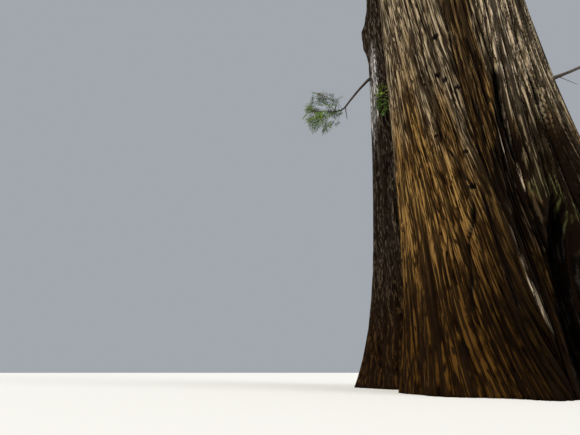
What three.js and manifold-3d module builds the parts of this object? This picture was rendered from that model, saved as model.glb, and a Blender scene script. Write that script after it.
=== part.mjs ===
// An old coast redwood: two stems fused at the butt, a long clear bole with a fire hollow at its
// foot, and a narrow crown of boughs that each end in a mass of foliage.
// Units are millimetres and +Z is up. The origin lies on the flat ground cut under the main trunk.
import * as THREE from "three";
import { mergeVertices } from "three/addons/utils/BufferGeometryUtils.js";
import Module from "manifold-3d";

const wasm = await Module();
wasm.setup();

// Driving dimensions of the whole tree
const TREE_HEIGHT = 40000;
const GAP = 0.5; // clearance between two pieces that touch on the real tree
const GRAIN_TWIST = 0.00011; // radians that the bark's grain turns for each millimetre of height

// Both stems: radius above the root flare, its taper, and the flare that dies out with height
const MAIN = {
  height: 37800,
  butt: 1030,
  taper: 0.85,
  flare: 450,
  flareHeight: 1600,
  tip: 18,
  sides: 34,
  rings: 22,
  crowding: 0.62, // how far its sides crowd towards the fire scar
};
const SECOND = {
  height: 29800,
  butt: 780,
  taper: 0.95,
  flare: 210,
  flareHeight: 1100,
  tip: 14,
  sides: 20,
  rings: 15,
  crowding: 0,
};

// The main trunk leans back from its foot, and the second stem stands behind its left flank
const MAIN_SWEEP = { reach: -450, height: 3000 };
const MAIN_LEAN = { reach: -250, height: 12000 };
const SECOND_FOOT = { x: -1241, y: 1090 };
const SECOND_LEAN = { x: -800, y: 1100, start: 6000 };

// Root buttresses of the main trunk: bearing in degrees, swell, half width in degrees, height
const BUTTRESSES = [
  { bearing: -152, swell: 110, width: 14, height: 1000 },
  { bearing: -124, swell: 140, width: 11, height: 900 },
  { bearing: -93, swell: 230, width: 8, height: 900 },
  { bearing: -46, swell: 330, width: 9, height: 1200 },
  { bearing: -10, swell: 360, width: 15, height: 900 },
  { bearing: 32, swell: 240, width: 16, height: 1100 },
  { bearing: 80, swell: 260, width: 17, height: 1100 },
];
const SECOND_BUTTRESSES = [
  { bearing: -170, swell: 170, width: 18, height: 700 },
  { bearing: 120, swell: 150, width: 20, height: 800 },
  { bearing: 70, swell: 120, width: 18, height: 700 },
];

// Fire scar: an inverted V of charred wood, a deep hollow at its foot, and a narrow cleft beside it.
// Each leans from its foot to its top bearing, in degrees.
const SCAR = { foot: -81.5, head: -74, depth: 170, width: 10.5, top: 3350 };
const HOLLOW = { foot: -71, head: -66, depth: 620, width: 14, top: 1800 };
const CLEFT = { foot: -56, head: -49.5, depth: 150, width: 3.2, top: 4300 };
const CROWDED_BEARING = -68;
const FLAT_FLANK = { bearing: 12, depth: 0.05, width: 38 };
const BURL = { bearing: 190, height: 5900, swell: 90, width: 24, tall: 420 };

// Crown
const CROWN_WIDEST = 17000; // height at which the boughs reach furthest
const CROWN_REACH = 3550;
const CROWN_ROUNDING = 1.5;
const CROWN_FULLNESS = 0.7;
const SECOND_BEARING = 127; // the side of the main trunk that the second stem takes
const MAIN_TIERS = { first: 14600, step: 4000, count: 5, spread: 80 };
const UPPER_TIER = { height: 34300, bearings: [15, 190] };
const MAIN_TOP = { height: TREE_HEIGHT, size: [1400, 1400, 2300], leader: 700 };
const SECOND_TOP = { height: 31700, size: [1350, 1350, 1900], leader: 700 };
const SECOND_TIERS = { first: 15200, step: 4400, count: 3, spread: 52, reach: 2350 };

// Limbs that the clear bole carries: where each starts and ends, how far its middle sinks, how
// thick it is, and the space of the foliage that it ends in
const LOW_LIMBS = [
  {
    name: "low_left",
    from: [-1662, 996, 5270],
    to: [-2236, 470, 4300],
    sag: -120,
    thick: 25,
    centre: [-2520, 200, 4130],
    size: [390, 390, 370],
    end: [-2700, 30, 4080],
  },
  {
    name: "low_right",
    from: [330, -170, 3540],
    to: [1290, 150, 3950],
    sag: 40,
    thick: 22,
    centre: [1700, 330, 4050],
    size: [520, 480, 400],
    end: [2030, 470, 4060],
  },
];
const SPROUT = {
  bearing: -118,
  height: 4480,
  inside: 90, // how deep its stem starts in the second stem
  stand: 75, // how far out it hangs
  centre: 4250,
  size: [150, 150, 330],
  end: 4060,
};

// Foliage: a mass is one stem, twigs that fan out from it, and toothed sprays on the twigs.
// reachShare: how far a twig goes from the middle of the space towards its edge
// lag: how far back along the stem a twig leaves it, bare: the stem's stretch without twigs
// hang: how much the sprays droop, arch: how much the stem rises in its middle
// room: clearance to every limb and to every other mass
const SPRAY_LENGTH = 1500;
const SPRAY_WIDTH = 0.86; // share of the length
const SPRAY_THICK = 0.02; // each way from the middle, share of the length
const SPRAY_MIDDLE = 0.38; // where along the blade it is thickest
const SPACE_MARGIN = 0.02; // how much nearer a point lies to its own mass than to any other
const TWIG_TRIES = [1, 0.8, 0.62, 0.45]; // shares of its full length that a twig is tried at
const SPRAY_TRIES = [1, 0.8, 0.62];
const SPRAY_SWINGS = [0, 0.6, -0.6, 1.2, -1.2]; // turns that a spray is tried at, in radians
const GOLDEN_TURN = 2.39996;
const STEM_SHARE = 0.52; // a mass's stem next to the bough it grows from
const MASS_HEIGHT = 2450; // half height of a crown mass's space
const CROWN_LOOK = {
  twigs: 6,
  sprays: 2,
  reachShare: 0.62,
  lag: 0.2,
  hang: 0.2,
  bare: 0.1,
  arch: 0.12,
  room: 25,
};
const TOP_LOOK = { ...CROWN_LOOK, reachShare: 0.6, lag: 0.25, hang: 0.1, arch: 0, room: 12, spray: 1000 };
const LOW_LOOK = { ...CROWN_LOOK, reachShare: 0.6, hang: 0.3, arch: 0.05, room: 6, spray: 300 };
const SPROUT_LOOK = { ...LOW_LOOK, twigs: 5, sprays: 1, hang: 0.4, arch: 0.3, spray: 130, thick: 8 };

const degrees = THREE.MathUtils.degToRad;
const up = new THREE.Vector3(0, 0, 1);

// Repeatable spread between -1 and 1 for a numbered thing
function spread(number, salt) {
  const raw = Math.sin(number * 127.1 + salt * 311.7) * 43758.5453;
  return 2 * (raw - Math.floor(raw)) - 1;
}

function seeded(seed) {
  let state = seed >>> 0;
  return () => {
    state = (Math.imul(state, 1664525) + 1013904223) >>> 0;
    return state / 4294967296;
  };
}

function turnBetween(a, b) {
  return Math.atan2(Math.sin(a - b), Math.cos(a - b));
}

function swellAt(angle, bearing, width) {
  const away = turnBetween(angle, degrees(bearing)) / degrees(width);
  return Math.exp(-away * away);
}

// Where a stem's centre line stands at a height
function mainAxis(z) {
  const sweep = MAIN_SWEEP.reach * (1 - Math.exp(-z / MAIN_SWEEP.height));
  const lean = MAIN_LEAN.reach * (1 - Math.exp(-z / MAIN_LEAN.height));
  return new THREE.Vector3(sweep + lean, 0, z);
}

function secondAxis(z) {
  const share = Math.max(0, z - SECOND_LEAN.start) / (SECOND.height - SECOND_LEAN.start);
  const away = Math.pow(share, 1.3);
  return new THREE.Vector3(
    SECOND_FOOT.x + SECOND_LEAN.x * away,
    SECOND_FOOT.y + SECOND_LEAN.y * away,
    z,
  );
}

function roundRadius(stem, z) {
  const bole = stem.butt * Math.pow(Math.max(0, 1 - z / stem.height), stem.taper);
  return bole + stem.flare * Math.exp(-z / stem.flareHeight) + stem.tip;
}

function fluting(angle, z) {
  const grain = angle + GRAIN_TWIST * z;
  return 1 + 0.016 * Math.cos(3 * grain + 0.9) + 0.013 * Math.cos(5 * grain - 1.3);
}

// How far a burnt opening cuts in at one place: steep sided, and narrowing to its top
function burntAway(opening, angle, z) {
  if (z >= opening.top) return 0;
  const rise = z / opening.top;
  const lean = opening.foot + (opening.head - opening.foot) * rise * rise;
  const width = opening.width * Math.pow(1 - rise, 0.6);
  const away = turnBetween(angle, degrees(lean)) / degrees(width);
  return opening.depth * Math.pow(1 - rise, 0.35) * Math.exp(-Math.pow(away, 4));
}

function mainRadius(angle, z) {
  let radius = roundRadius(MAIN, z) * fluting(angle, z);
  const grain = angle + GRAIN_TWIST * z;
  radius *= 1 - FLAT_FLANK.depth * swellAt(grain, FLAT_FLANK.bearing, FLAT_FLANK.width);
  for (const root of BUTTRESSES)
    radius += root.swell * swellAt(angle, root.bearing, root.width) * Math.exp(-z / root.height);
  const burnt = [SCAR, HOLLOW, CLEFT].map((opening) => burntAway(opening, angle, z));
  return radius - Math.max(...burnt);
}

function secondRadius(angle, z) {
  let radius = roundRadius(SECOND, z) * fluting(angle + 2, z);
  for (const root of SECOND_BUTTRESSES)
    radius += root.swell * swellAt(angle, root.bearing, root.width) * Math.exp(-z / root.height);
  const rise = (z - BURL.height) / BURL.tall;
  radius += BURL.swell * swellAt(angle, BURL.bearing, BURL.width) * Math.exp(-rise * rise);
  return radius;
}

// A closed cylinder whose every vertex is put where place(x, y, along) says
function loft(sides, rings, place) {
  const geometry = new THREE.CylinderGeometry(1, 1, 1, sides, rings);
  geometry.rotateX(Math.PI / 2);
  const position = geometry.getAttribute("position");
  for (let i = 0; i < position.count; i++) {
    const put = place(position.getX(i), position.getY(i), position.getZ(i) + 0.5);
    position.setXYZ(i, put.x, put.y, put.z);
  }
  return geometry;
}

function solidOf(geometry) {
  const bare = geometry.clone();
  bare.deleteAttribute("normal");
  bare.deleteAttribute("uv");
  const merged = mergeVertices(bare, 0.01);
  return new wasm.Manifold(
    new wasm.Mesh({
      numProp: 3,
      vertProperties: new Float32Array(merged.getAttribute("position").array),
      triVerts: new Uint32Array(merged.index.array),
    }),
  );
}

function geometryOf(solid) {
  const mesh = solid.getMesh();
  const geometry = new THREE.BufferGeometry();
  geometry.setAttribute("position", new THREE.BufferAttribute(mesh.vertProperties, 3));
  geometry.setIndex(new THREE.BufferAttribute(mesh.triVerts, 1));
  geometry.computeVertexNormals();
  return geometry;
}

// The one largest body, without loose scraps or sealed hollows
function wholeBody(solid) {
  return solid.decompose().reduce((best, body) => (body.volume() > best.volume() ? body : best));
}

// A stem from the flat ground cut to its tip, with rings that crowd together towards the foot
function stemSolid(stem, axisAt, radiusAt, extra) {
  const geometry = loft(stem.sides, stem.rings, (x, y, along) => {
    const z = stem.height * (0.03 * along + 0.97 * Math.pow(along, 2.6));
    const even = Math.atan2(y, x);
    const angle = even - stem.crowding * Math.sin(even - degrees(CROWDED_BEARING));
    const radius = Math.hypot(x, y) * (radiusAt(angle, z) + extra);
    return axisAt(z).add(new THREE.Vector3(radius * Math.cos(angle), radius * Math.sin(angle), 0));
  });
  return solidOf(geometry);
}

function tubeSolid(curve, sides, rings, radiusAt) {
  const frames = curve.computeFrenetFrames(rings, false);
  const geometry = loft(sides, rings, (x, y, along) => {
    const i = Math.round(along * rings);
    return curve
      .getPointAt(along)
      .addScaledVector(frames.normals[i], x * radiusAt(along))
      .addScaledVector(frames.binormals[i], y * radiusAt(along));
  });
  return solidOf(geometry);
}

// The toothed blade of one spray: six corners round a thicker middle, its root at the origin, along +X
const SPRAY_OUTLINE = [
  [1, 0],
  [0.64, 0.17],
  [0.76, 0.5],
  [0, 0],
  [0.76, -0.5],
  [0.64, -0.17],
];

function sprayGeometry(length) {
  const geometry = new THREE.SphereGeometry(1, SPRAY_OUTLINE.length, 2);
  const position = geometry.getAttribute("position");
  for (let i = 0; i < position.count; i++) {
    const pole = Math.abs(position.getY(i)) > 0.5;
    const turn = Math.atan2(-position.getZ(i), position.getX(i));
    const corner = Math.round((turn / (2 * Math.PI)) * SPRAY_OUTLINE.length);
    const [x, y] = SPRAY_OUTLINE[(corner + SPRAY_OUTLINE.length) % SPRAY_OUTLINE.length];
    const across = length * SPRAY_WIDTH;
    if (pole)
      position.setXYZ(i, SPRAY_MIDDLE * length, 0, Math.sign(position.getY(i)) * SPRAY_THICK * length);
    else position.setXYZ(i, x * length, y * across, 0);
  }
  return geometry;
}

// Foliage spaces: a mass owns the points that lie in its ellipsoid and nearest to it. Obstacles
// are the solids that a new twig or spray has to stay clear of.
const spaces = [];
const obstacles = [];

function addSpace(centre, size, bearing, seed) {
  const space = { centre, size, bearing, seed };
  spaces.push(space);
  return space;
}

function depthIn(space, point) {
  const local = point.clone().sub(space.centre).applyAxisAngle(up, -space.bearing);
  return local.divide(space.size).length();
}

function ownsPoint(space, point) {
  const own = depthIn(space, point);
  if (own > 1) return false;
  return spaces.every((other) => other === space || depthIn(other, point) > own + SPACE_MARGIN);
}

function boxesMeet(a, b, room) {
  return [0, 1, 2].every((i) => a.min[i] < b.max[i] + room && b.min[i] < a.max[i] + room);
}

function boxed(solid) {
  return { solid, box: solid.boundingBox() };
}

function standsClear(piece, others, room) {
  return others.every(
    (other) =>
      !boxesMeet(piece.box, other.box, room) || piece.solid.minGap(other.solid, room) >= room,
  );
}

function spraySolid(root, heading, side, length) {
  const face = new THREE.Vector3().crossVectors(heading, side);
  const geometry = sprayGeometry(length);
  geometry.applyMatrix4(new THREE.Matrix4().makeBasis(heading, side, face).setPosition(root));
  return solidOf(geometry);
}

// The way a spray's blade spreads: across its heading, tilted about it
function sprayAcross(space, heading, tilt) {
  const side = new THREE.Vector3().crossVectors(up, heading);
  if (side.length() < 0.2) side.set(Math.cos(space.bearing), Math.sin(space.bearing), 0);
  side.normalize().applyAxisAngle(heading, tilt);
  return side.addScaledVector(heading, -side.dot(heading)).normalize();
}

// One spray on a twig, turned or shortened where the space is tight, or null where it would leave
// the space or cross another limb, twig or spray
function fitSpray(space, spray, look, own) {
  const others = own.filter((other) => other !== spray.twig);
  for (const share of SPRAY_TRIES)
    for (const swing of SPRAY_SWINGS) {
      const heading = spray.heading.clone().applyAxisAngle(up, swing);
      heading.z += 0.35 * swing * Math.sign(spray.tilt);
      heading.normalize();
      const side = sprayAcross(space, heading, spray.tilt);
      const length = spray.length * share;
      const corners = SPRAY_OUTLINE.filter(([x]) => x > 0.7).map(([x, y]) =>
        spray.root
          .clone()
          .addScaledVector(heading, x * length)
          .addScaledVector(side, y * length * SPRAY_WIDTH),
      );
      if (!corners.every((corner) => ownsPoint(space, corner))) continue;
      const piece = boxed(spraySolid(spray.root, heading, side, length));
      if (standsClear(piece, obstacles, look.room) && standsClear(piece, others, 1)) return piece;
    }
  return null;
}

// The tip of one of a mass's twigs: they fan out evenly from the middle of the space to all sides
function twigTip(space, number, count, share) {
  const level = 0.86 - (1.72 * (number + 0.5)) / count;
  const turn = number * GOLDEN_TURN + space.seed;
  const flat = Math.sqrt(1 - level * level);
  return new THREE.Vector3(flat * Math.cos(turn), flat * Math.sin(turn), level)
    .multiply(space.size)
    .multiplyScalar(share)
    .applyAxisAngle(up, space.bearing)
    .add(space.centre);
}

// Twigs branch off the mass's stem to all parts of its space, with sprays at and near their tips
function foliageSolid(space, from, heading, end, look) {
  const random = seeded(space.seed * 7919 + 17);
  const start = from.clone().addScaledVector(heading, GAP);
  const span = start.distanceTo(end);
  const stem = new THREE.CubicBezierCurve3(
    start,
    start.clone().addScaledVector(heading, span * 0.3),
    end.clone().lerp(start, 0.35).addScaledVector(up, span * look.arch),
    end,
  );
  const main = boxed(tubeSolid(stem, 4, 3, (along) => look.thick * (1 - 0.7 * along)));
  const own = [main];
  const sprays = [];
  const line = end.clone().sub(start).normalize();
  for (let i = 0; i < look.twigs; i++) {
    const aim = twigTip(space, i, look.twigs, look.reachShare * (0.9 + 0.2 * random()));
    const beside = aim.clone().sub(start).dot(line) / span;
    const along = THREE.MathUtils.clamp(beside - look.lag, look.bare, 0.92);
    const root = stem.getPointAt(along);
    const slant = [random() - 0.5, random() - 0.5, random() - 0.5, random() - 0.5];
    for (const share of TWIG_TRIES) {
      const tip = root.clone().lerp(aim, share);
      if (![0.6, 1].every((t) => ownsPoint(space, root.clone().lerp(tip, t)))) continue;
      const twig = new THREE.LineCurve3(root, tip);
      const twigRadius = (t) => look.thick * (0.45 - 0.25 * t);
      const piece = boxed(tubeSolid(twig, 3, 1, twigRadius));
      if (!standsClear(piece, obstacles, look.room)) continue;
      own.push(piece);
      const way = twig.getTangentAt(0);
      const out = tip.clone().sub(space.centre).normalize();
      for (let k = 0; k < look.sprays; k++) {
        const side = new THREE.Vector3().crossVectors(way, up).normalize();
        const heading = way.clone().addScaledVector(out, 0.5);
        heading.addScaledVector(side, (k % 2 ? -1 : 1) * (0.55 + 0.5 * slant[k]));
        heading.addScaledVector(up, slant[2] - look.hang);
        sprays.push({
          root: twig.getPointAt(0.97 - 0.3 * k),
          heading: heading.normalize(),
          tilt: 1.5 * slant[(k + 1) % 4] + (k % 2 ? 0.5 : -0.5),
          length: look.spray * (1 + 0.35 * slant[(k + 3) % 4]),
          twig: piece,
        });
      }
      break;
    }
  }
  const leader = look.leader ?? look.spray;
  const tip = { root: end.clone().addScaledVector(stem.getTangentAt(1), -0.04 * leader) };
  sprays.push({ ...tip, heading: stem.getTangentAt(1), tilt: 0.3, length: leader, twig: main });
  for (const spray of sprays) {
    const piece = fitSpray(space, spray, look, own);
    if (piece) own.push(piece);
  }
  return wholeBody(wasm.Manifold.union(own.map((piece) => piece.solid)));
}

// Colours of the materials
const bark = new THREE.MeshStandardMaterial({ color: 0x8a6a4c, roughness: 0.95, metalness: 0 });
const shadedBark = new THREE.MeshStandardMaterial({ color: 0x584a3f, roughness: 0.95, metalness: 0 });
const limbBark = new THREE.MeshStandardMaterial({ color: 0x5c4636, roughness: 0.9, metalness: 0 });
const needles = new THREE.MeshStandardMaterial({ color: 0x3f6a26, roughness: 0.7, metalness: 0 });

const tree = new THREE.Group();

function addPiece(name, solid, material) {
  obstacles.push(boxed(solid));
  const mesh = new THREE.Mesh(geometryOf(solid), material);
  mesh.name = name;
  tree.add(mesh);
}

// Both stems. The second is cut where it grew against the main trunk.
const mainGrown = stemSolid(MAIN, mainAxis, mainRadius, GAP);
const secondGrown = stemSolid(SECOND, secondAxis, secondRadius, GAP);
const secondRaw = stemSolid(SECOND, secondAxis, secondRadius, 0);
addPiece("main_trunk", stemSolid(MAIN, mainAxis, mainRadius, 0), bark);
addPiece("second_stem", wholeBody(secondRaw.subtract(mainGrown)), shadedBark);

function crownReach(z) {
  const share = Math.max(0, z - CROWN_WIDEST) / (TREE_HEIGHT + 500 - CROWN_WIDEST);
  return CROWN_REACH * Math.pow(1 - Math.pow(share, CROWN_ROUNDING), CROWN_FULLNESS);
}

function boughThickness(reach) {
  return 34 + (62 * reach) / CROWN_REACH;
}

// A crown bough leaves its stem at a height and bearing, and ends where its mass begins
function planBough(name, axisAt, stem, height, bearing, reach, number) {
  const out = new THREE.Vector3(Math.cos(bearing), Math.sin(bearing), 0);
  const rise = 0.16 * ((height - MAIN_TIERS.first) / (TREE_HEIGHT - MAIN_TIERS.first)) - 0.02;
  const from = axisAt(height).addScaledVector(out, roundRadius(stem, height) * 0.55);
  const to = axisAt(height).addScaledVector(out, roundRadius(stem, height) + reach * 0.24);
  to.z += reach * rise;
  const middle = from.clone().lerp(to, 0.5).addScaledVector(up, reach * 0.035);
  const centre = axisAt(height).addScaledVector(out, reach * 0.6);
  centre.z -= 260 + 160 * spread(number, 3);
  const size = new THREE.Vector3(reach * 0.5, reach * 0.66, MASS_HEIGHT);
  const end = axisAt(height).addScaledVector(out, reach * 0.86);
  end.z -= 420 + 260 * spread(number, 4);
  return {
    name,
    curve: new THREE.QuadraticBezierCurve3(from, middle, to),
    thick: boughThickness(reach),
    space: addSpace(centre, size, bearing, number),
    end,
    look: {
      ...CROWN_LOOK,
      thick: boughThickness(reach) * STEM_SHARE,
      spray: SPRAY_LENGTH * (0.6 + (0.4 * reach) / CROWN_REACH),
    },
  };
}

const boughs = [];

for (let tier = 0; tier < MAIN_TIERS.count; tier++)
  for (const side of [-1, 0, 1]) {
    const number = boughs.length + 1;
    const height = MAIN_TIERS.first + MAIN_TIERS.step * tier + 560 * side + 380 * spread(number, 1);
    const above = Math.max(0, tier - 2.6) * 20;
    const shift = (tier % 2 ? -1 : 1) * 18 + 10 * spread(number, 2);
    const bearing = degrees(SECOND_BEARING + 180 + side * (MAIN_TIERS.spread + above) + shift);
    const reach = crownReach(height) * (1 + 0.08 * spread(number, 5));
    boughs.push(planBough(`main_${number}`, mainAxis, MAIN, height, bearing, reach, number));
  }
for (const [i, bearing] of UPPER_TIER.bearings.entries()) {
  const number = boughs.length + 1;
  const height = UPPER_TIER.height + 500 * (i - 0.5);
  const reach = crownReach(height) * 1.08;
  boughs.push(planBough(`main_${number}`, mainAxis, MAIN, height, degrees(bearing), reach, number));
}
const mainCount = boughs.length;
for (let tier = 0; tier < SECOND_TIERS.count; tier++)
  for (const side of [-1, 1]) {
    const number = boughs.length + 1;
    const height = SECOND_TIERS.first + SECOND_TIERS.step * tier + 500 * side;
    const bearing = degrees(SECOND_BEARING + side * SECOND_TIERS.spread + 9 * spread(number, 2));
    const reach = SECOND_TIERS.reach * (1 - 0.1 * tier);
    const name = `second_${number - mainCount}`;
    boughs.push(planBough(name, secondAxis, SECOND, height, bearing, reach, number));
  }

// The few limbs of the clear bole
for (const limb of LOW_LIMBS) {
  const from = new THREE.Vector3(...limb.from);
  const to = new THREE.Vector3(...limb.to);
  const middle = from.clone().lerp(to, 0.5).addScaledVector(up, -limb.sag);
  const bearing = Math.atan2(to.y - from.y, to.x - from.x);
  const centre = new THREE.Vector3(...limb.centre);
  boughs.push({
    name: limb.name,
    curve: new THREE.QuadraticBezierCurve3(from, middle, to),
    thick: limb.thick,
    space: addSpace(centre, new THREE.Vector3(...limb.size), bearing, 60 + boughs.length),
    end: new THREE.Vector3(...limb.end),
    look: { ...LOW_LOOK, thick: limb.thick * STEM_SHARE },
  });
}

// Boughs first, so that every twig can be kept clear of all of them
for (const bough of boughs) {
  const raw = tubeSolid(bough.curve, 5, 3, (along) => bough.thick * (1 - 0.42 * along));
  const cut = wholeBody(raw.subtract(mainGrown).subtract(secondGrown));
  addPiece(`bough_${bough.name}`, cut, limbBark);
}

// Shoots that need no bough: the top of each stem, and a sprout on the second stem's flank
function planTop(name, stem, axisAt, top, number) {
  const from = axisAt(stem.height);
  const centre = from.clone().setZ(top.height - top.size[2] + GAP);
  const look = { ...TOP_LOOK, thick: stem.tip * 0.8, leader: top.leader };
  return {
    name,
    from,
    heading: up,
    end: from.clone().setZ(top.height - 0.96 * top.leader),
    space: addSpace(centre, new THREE.Vector3(...top.size), 0, number),
    look,
  };
}

function planSprout() {
  const bearing = degrees(SPROUT.bearing);
  const out = new THREE.Vector3(Math.cos(bearing), Math.sin(bearing), 0);
  const face = secondRadius(bearing, SPROUT.height);
  const axis = secondAxis(SPROUT.height);
  const centre = axis.clone().addScaledVector(out, face + SPROUT.stand).setZ(SPROUT.centre);
  return {
    name: "sprout",
    from: axis.clone().addScaledVector(out, face - SPROUT.inside),
    heading: out,
    end: centre.clone().setZ(SPROUT.end),
    space: addSpace(centre, new THREE.Vector3(...SPROUT.size), 0, 53),
    look: SPROUT_LOOK,
    cut: secondGrown,
  };
}

const shoots = [
  planTop("main_top", MAIN, mainAxis, MAIN_TOP, 51),
  planTop("second_top", SECOND, secondAxis, SECOND_TOP, 52),
  planSprout(),
];
const masses = boughs.map((bough) => ({
  ...bough,
  from: bough.curve.getPointAt(1),
  heading: bough.curve.getTangentAt(1),
}));
for (const mass of [...masses, ...shoots]) {
  const solid = foliageSolid(mass.space, mass.from, mass.heading, mass.end, mass.look);
  const seated = mass.cut ? wholeBody(solid.subtract(mass.cut)) : solid;
  addPiece(`foliage_${mass.name}`, seated, needles);
}

// The group is the part: the trunk, the second stem, their boughs and the masses of foliage
export default tree;
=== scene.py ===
# %% [markdown]
# # An old coast redwood
#
# The real tree is two stems that grew together at the butt: a giant main trunk that leans back from
# a wide, burnt foot, and a darker second stem behind its left flank. The bole is clear of branches
# for a third of its height, apart from two thin limbs and a sprout, and the crown is narrow.
#
# The solid model gives every size here. This lesson dresses it: furrowed bark on both stems, bark on
# the boughs, and twigs with sprays of needles in place of each mass of foliage.

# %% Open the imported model
import math

import bmesh
import bpy
import numpy as np
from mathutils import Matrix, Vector


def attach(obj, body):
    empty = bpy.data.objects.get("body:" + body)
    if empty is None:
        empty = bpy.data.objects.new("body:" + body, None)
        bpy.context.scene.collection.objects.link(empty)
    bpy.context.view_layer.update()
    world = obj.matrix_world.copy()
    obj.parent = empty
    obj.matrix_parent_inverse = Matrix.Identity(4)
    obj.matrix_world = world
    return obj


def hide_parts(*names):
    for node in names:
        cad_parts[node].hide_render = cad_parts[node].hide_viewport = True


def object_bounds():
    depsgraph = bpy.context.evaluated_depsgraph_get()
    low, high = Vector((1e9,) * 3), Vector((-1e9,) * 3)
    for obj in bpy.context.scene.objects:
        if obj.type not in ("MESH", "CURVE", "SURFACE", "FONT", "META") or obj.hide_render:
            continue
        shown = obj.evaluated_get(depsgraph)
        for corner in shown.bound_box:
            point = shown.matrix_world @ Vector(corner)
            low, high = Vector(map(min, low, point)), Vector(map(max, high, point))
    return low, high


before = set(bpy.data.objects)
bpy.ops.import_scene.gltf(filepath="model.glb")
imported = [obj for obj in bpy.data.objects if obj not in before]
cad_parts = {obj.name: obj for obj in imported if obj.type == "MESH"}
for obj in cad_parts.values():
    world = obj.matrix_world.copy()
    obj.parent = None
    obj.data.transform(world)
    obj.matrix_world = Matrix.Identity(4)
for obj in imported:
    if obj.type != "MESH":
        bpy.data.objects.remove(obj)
CAD_BOX = [list(corner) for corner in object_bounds()]
print("solid model's box in metres:", CAD_BOX)

# %% [markdown]
# ## Camera
#
# A camera that stands low and close, and looks up, makes a tree tower: upright lines lean together
# towards the top. Its lens follows from the picture's width and the focal length, both in pixels.
# Here it stands 20 cm above the ground, 4 to 5 m from the bark, and tilts up by 19 degrees.

# %% Make the camera
PICTURE_WIDTH = 580
FOCAL_LENGTH = 450  # pixels
SENSOR = 36.0  # mm
CAMERA_PLACE = (-0.406, -5.71, 0.2)
CAMERA_TILT = 19  # degrees above the horizon
CAMERA_TURN = 24.5  # degrees to the left
FAR_ENOUGH = 500


def put(name, data):
    """An object with this data, put in the scene."""
    made = bpy.data.objects.new(name, data)
    bpy.context.scene.collection.objects.link(made)
    return made


camera_data = bpy.data.cameras.new("camera")
camera_data.sensor_width = SENSOR
camera_data.lens = SENSOR * FOCAL_LENGTH / PICTURE_WIDTH
camera_data.clip_end = FAR_ENOUGH
camera = put("camera", camera_data)
camera.location = CAMERA_PLACE
camera.rotation_euler = (math.radians(90 + CAMERA_TILT), 0, math.radians(CAMERA_TURN))
bpy.context.scene.camera = camera
print(f"lens {camera_data.lens:.2f} mm")

# %% [markdown]
# ## Floor and light
#
# A plain pale floor and a pale sky all round give soft light with no reflections of their own. A
# warm lamp stands for the sun at the front left, so that the ridges of the bark show, and a weak,
# broad, cool one lifts the other side. A sun lamp lights the foot and the top of a tall tree alike,
# and its angle sets how soft its shadows are.

# %% Lay the floor and set the lamps
FLOOR_RADIUS = 260
SKY_STRENGTH = 0.42
floor_shape = bmesh.new()
bmesh.ops.create_circle(floor_shape, cap_ends=True, segments=96, radius=FLOOR_RADIUS)
floor_mesh = bpy.data.meshes.new("floor")
floor_shape.to_mesh(floor_mesh)
floor_shape.free()
floor = put("floor", floor_mesh)
floor_finish = bpy.data.materials.new("floor")
floor_finish.use_nodes = True
floor_shader = floor_finish.node_tree.nodes["Principled BSDF"]
floor_shader.inputs["Base Color"].default_value = (0.7, 0.7, 0.68, 1)
floor_shader.inputs["Roughness"].default_value = 0.9
floor_mesh.materials.append(floor_finish)

world = bpy.data.worlds.new("sky")
bpy.context.scene.world = world
world.use_nodes = True
sky = world.node_tree.nodes["Background"]
sky.inputs["Color"].default_value = (0.86, 0.92, 1.0, 1)
sky.inputs["Strength"].default_value = SKY_STRENGTH
bpy.context.scene.view_settings.view_transform = "Standard"


def add_sun(name, bearing, height, energy, colour, softness):
    """A lamp that shines from a bearing and a height above the horizon, in degrees."""
    lamp = bpy.data.lights.new(name, "SUN")
    lamp.energy, lamp.color, lamp.angle = energy, colour, math.radians(softness)
    turn, rise = math.radians(bearing), math.radians(height)
    level = math.cos(rise)
    towards = Vector((level * math.cos(turn), level * math.sin(turn), math.sin(rise)))
    put(name, lamp).rotation_euler = towards.to_track_quat("Z", "Y").to_euler()


add_sun("key", -118, 44, 3.7, (1.0, 0.94, 0.84), 6)
add_sun("fill", -20, 30, 1.5, (0.94, 0.97, 1.0), 40)
print("a floor", 2 * FLOOR_RADIUS, "m across, a pale sky and two suns")

# %% [markdown]
# ## Shader arithmetic
#
# A finish is easier to read as a sum than as a picture of nodes. This small class wraps a node's
# output, so that `1 - mask * 0.5` adds the Math nodes by itself. Every other node comes from its
# one method, which sets the node up first and then fills or links its sockets.


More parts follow.
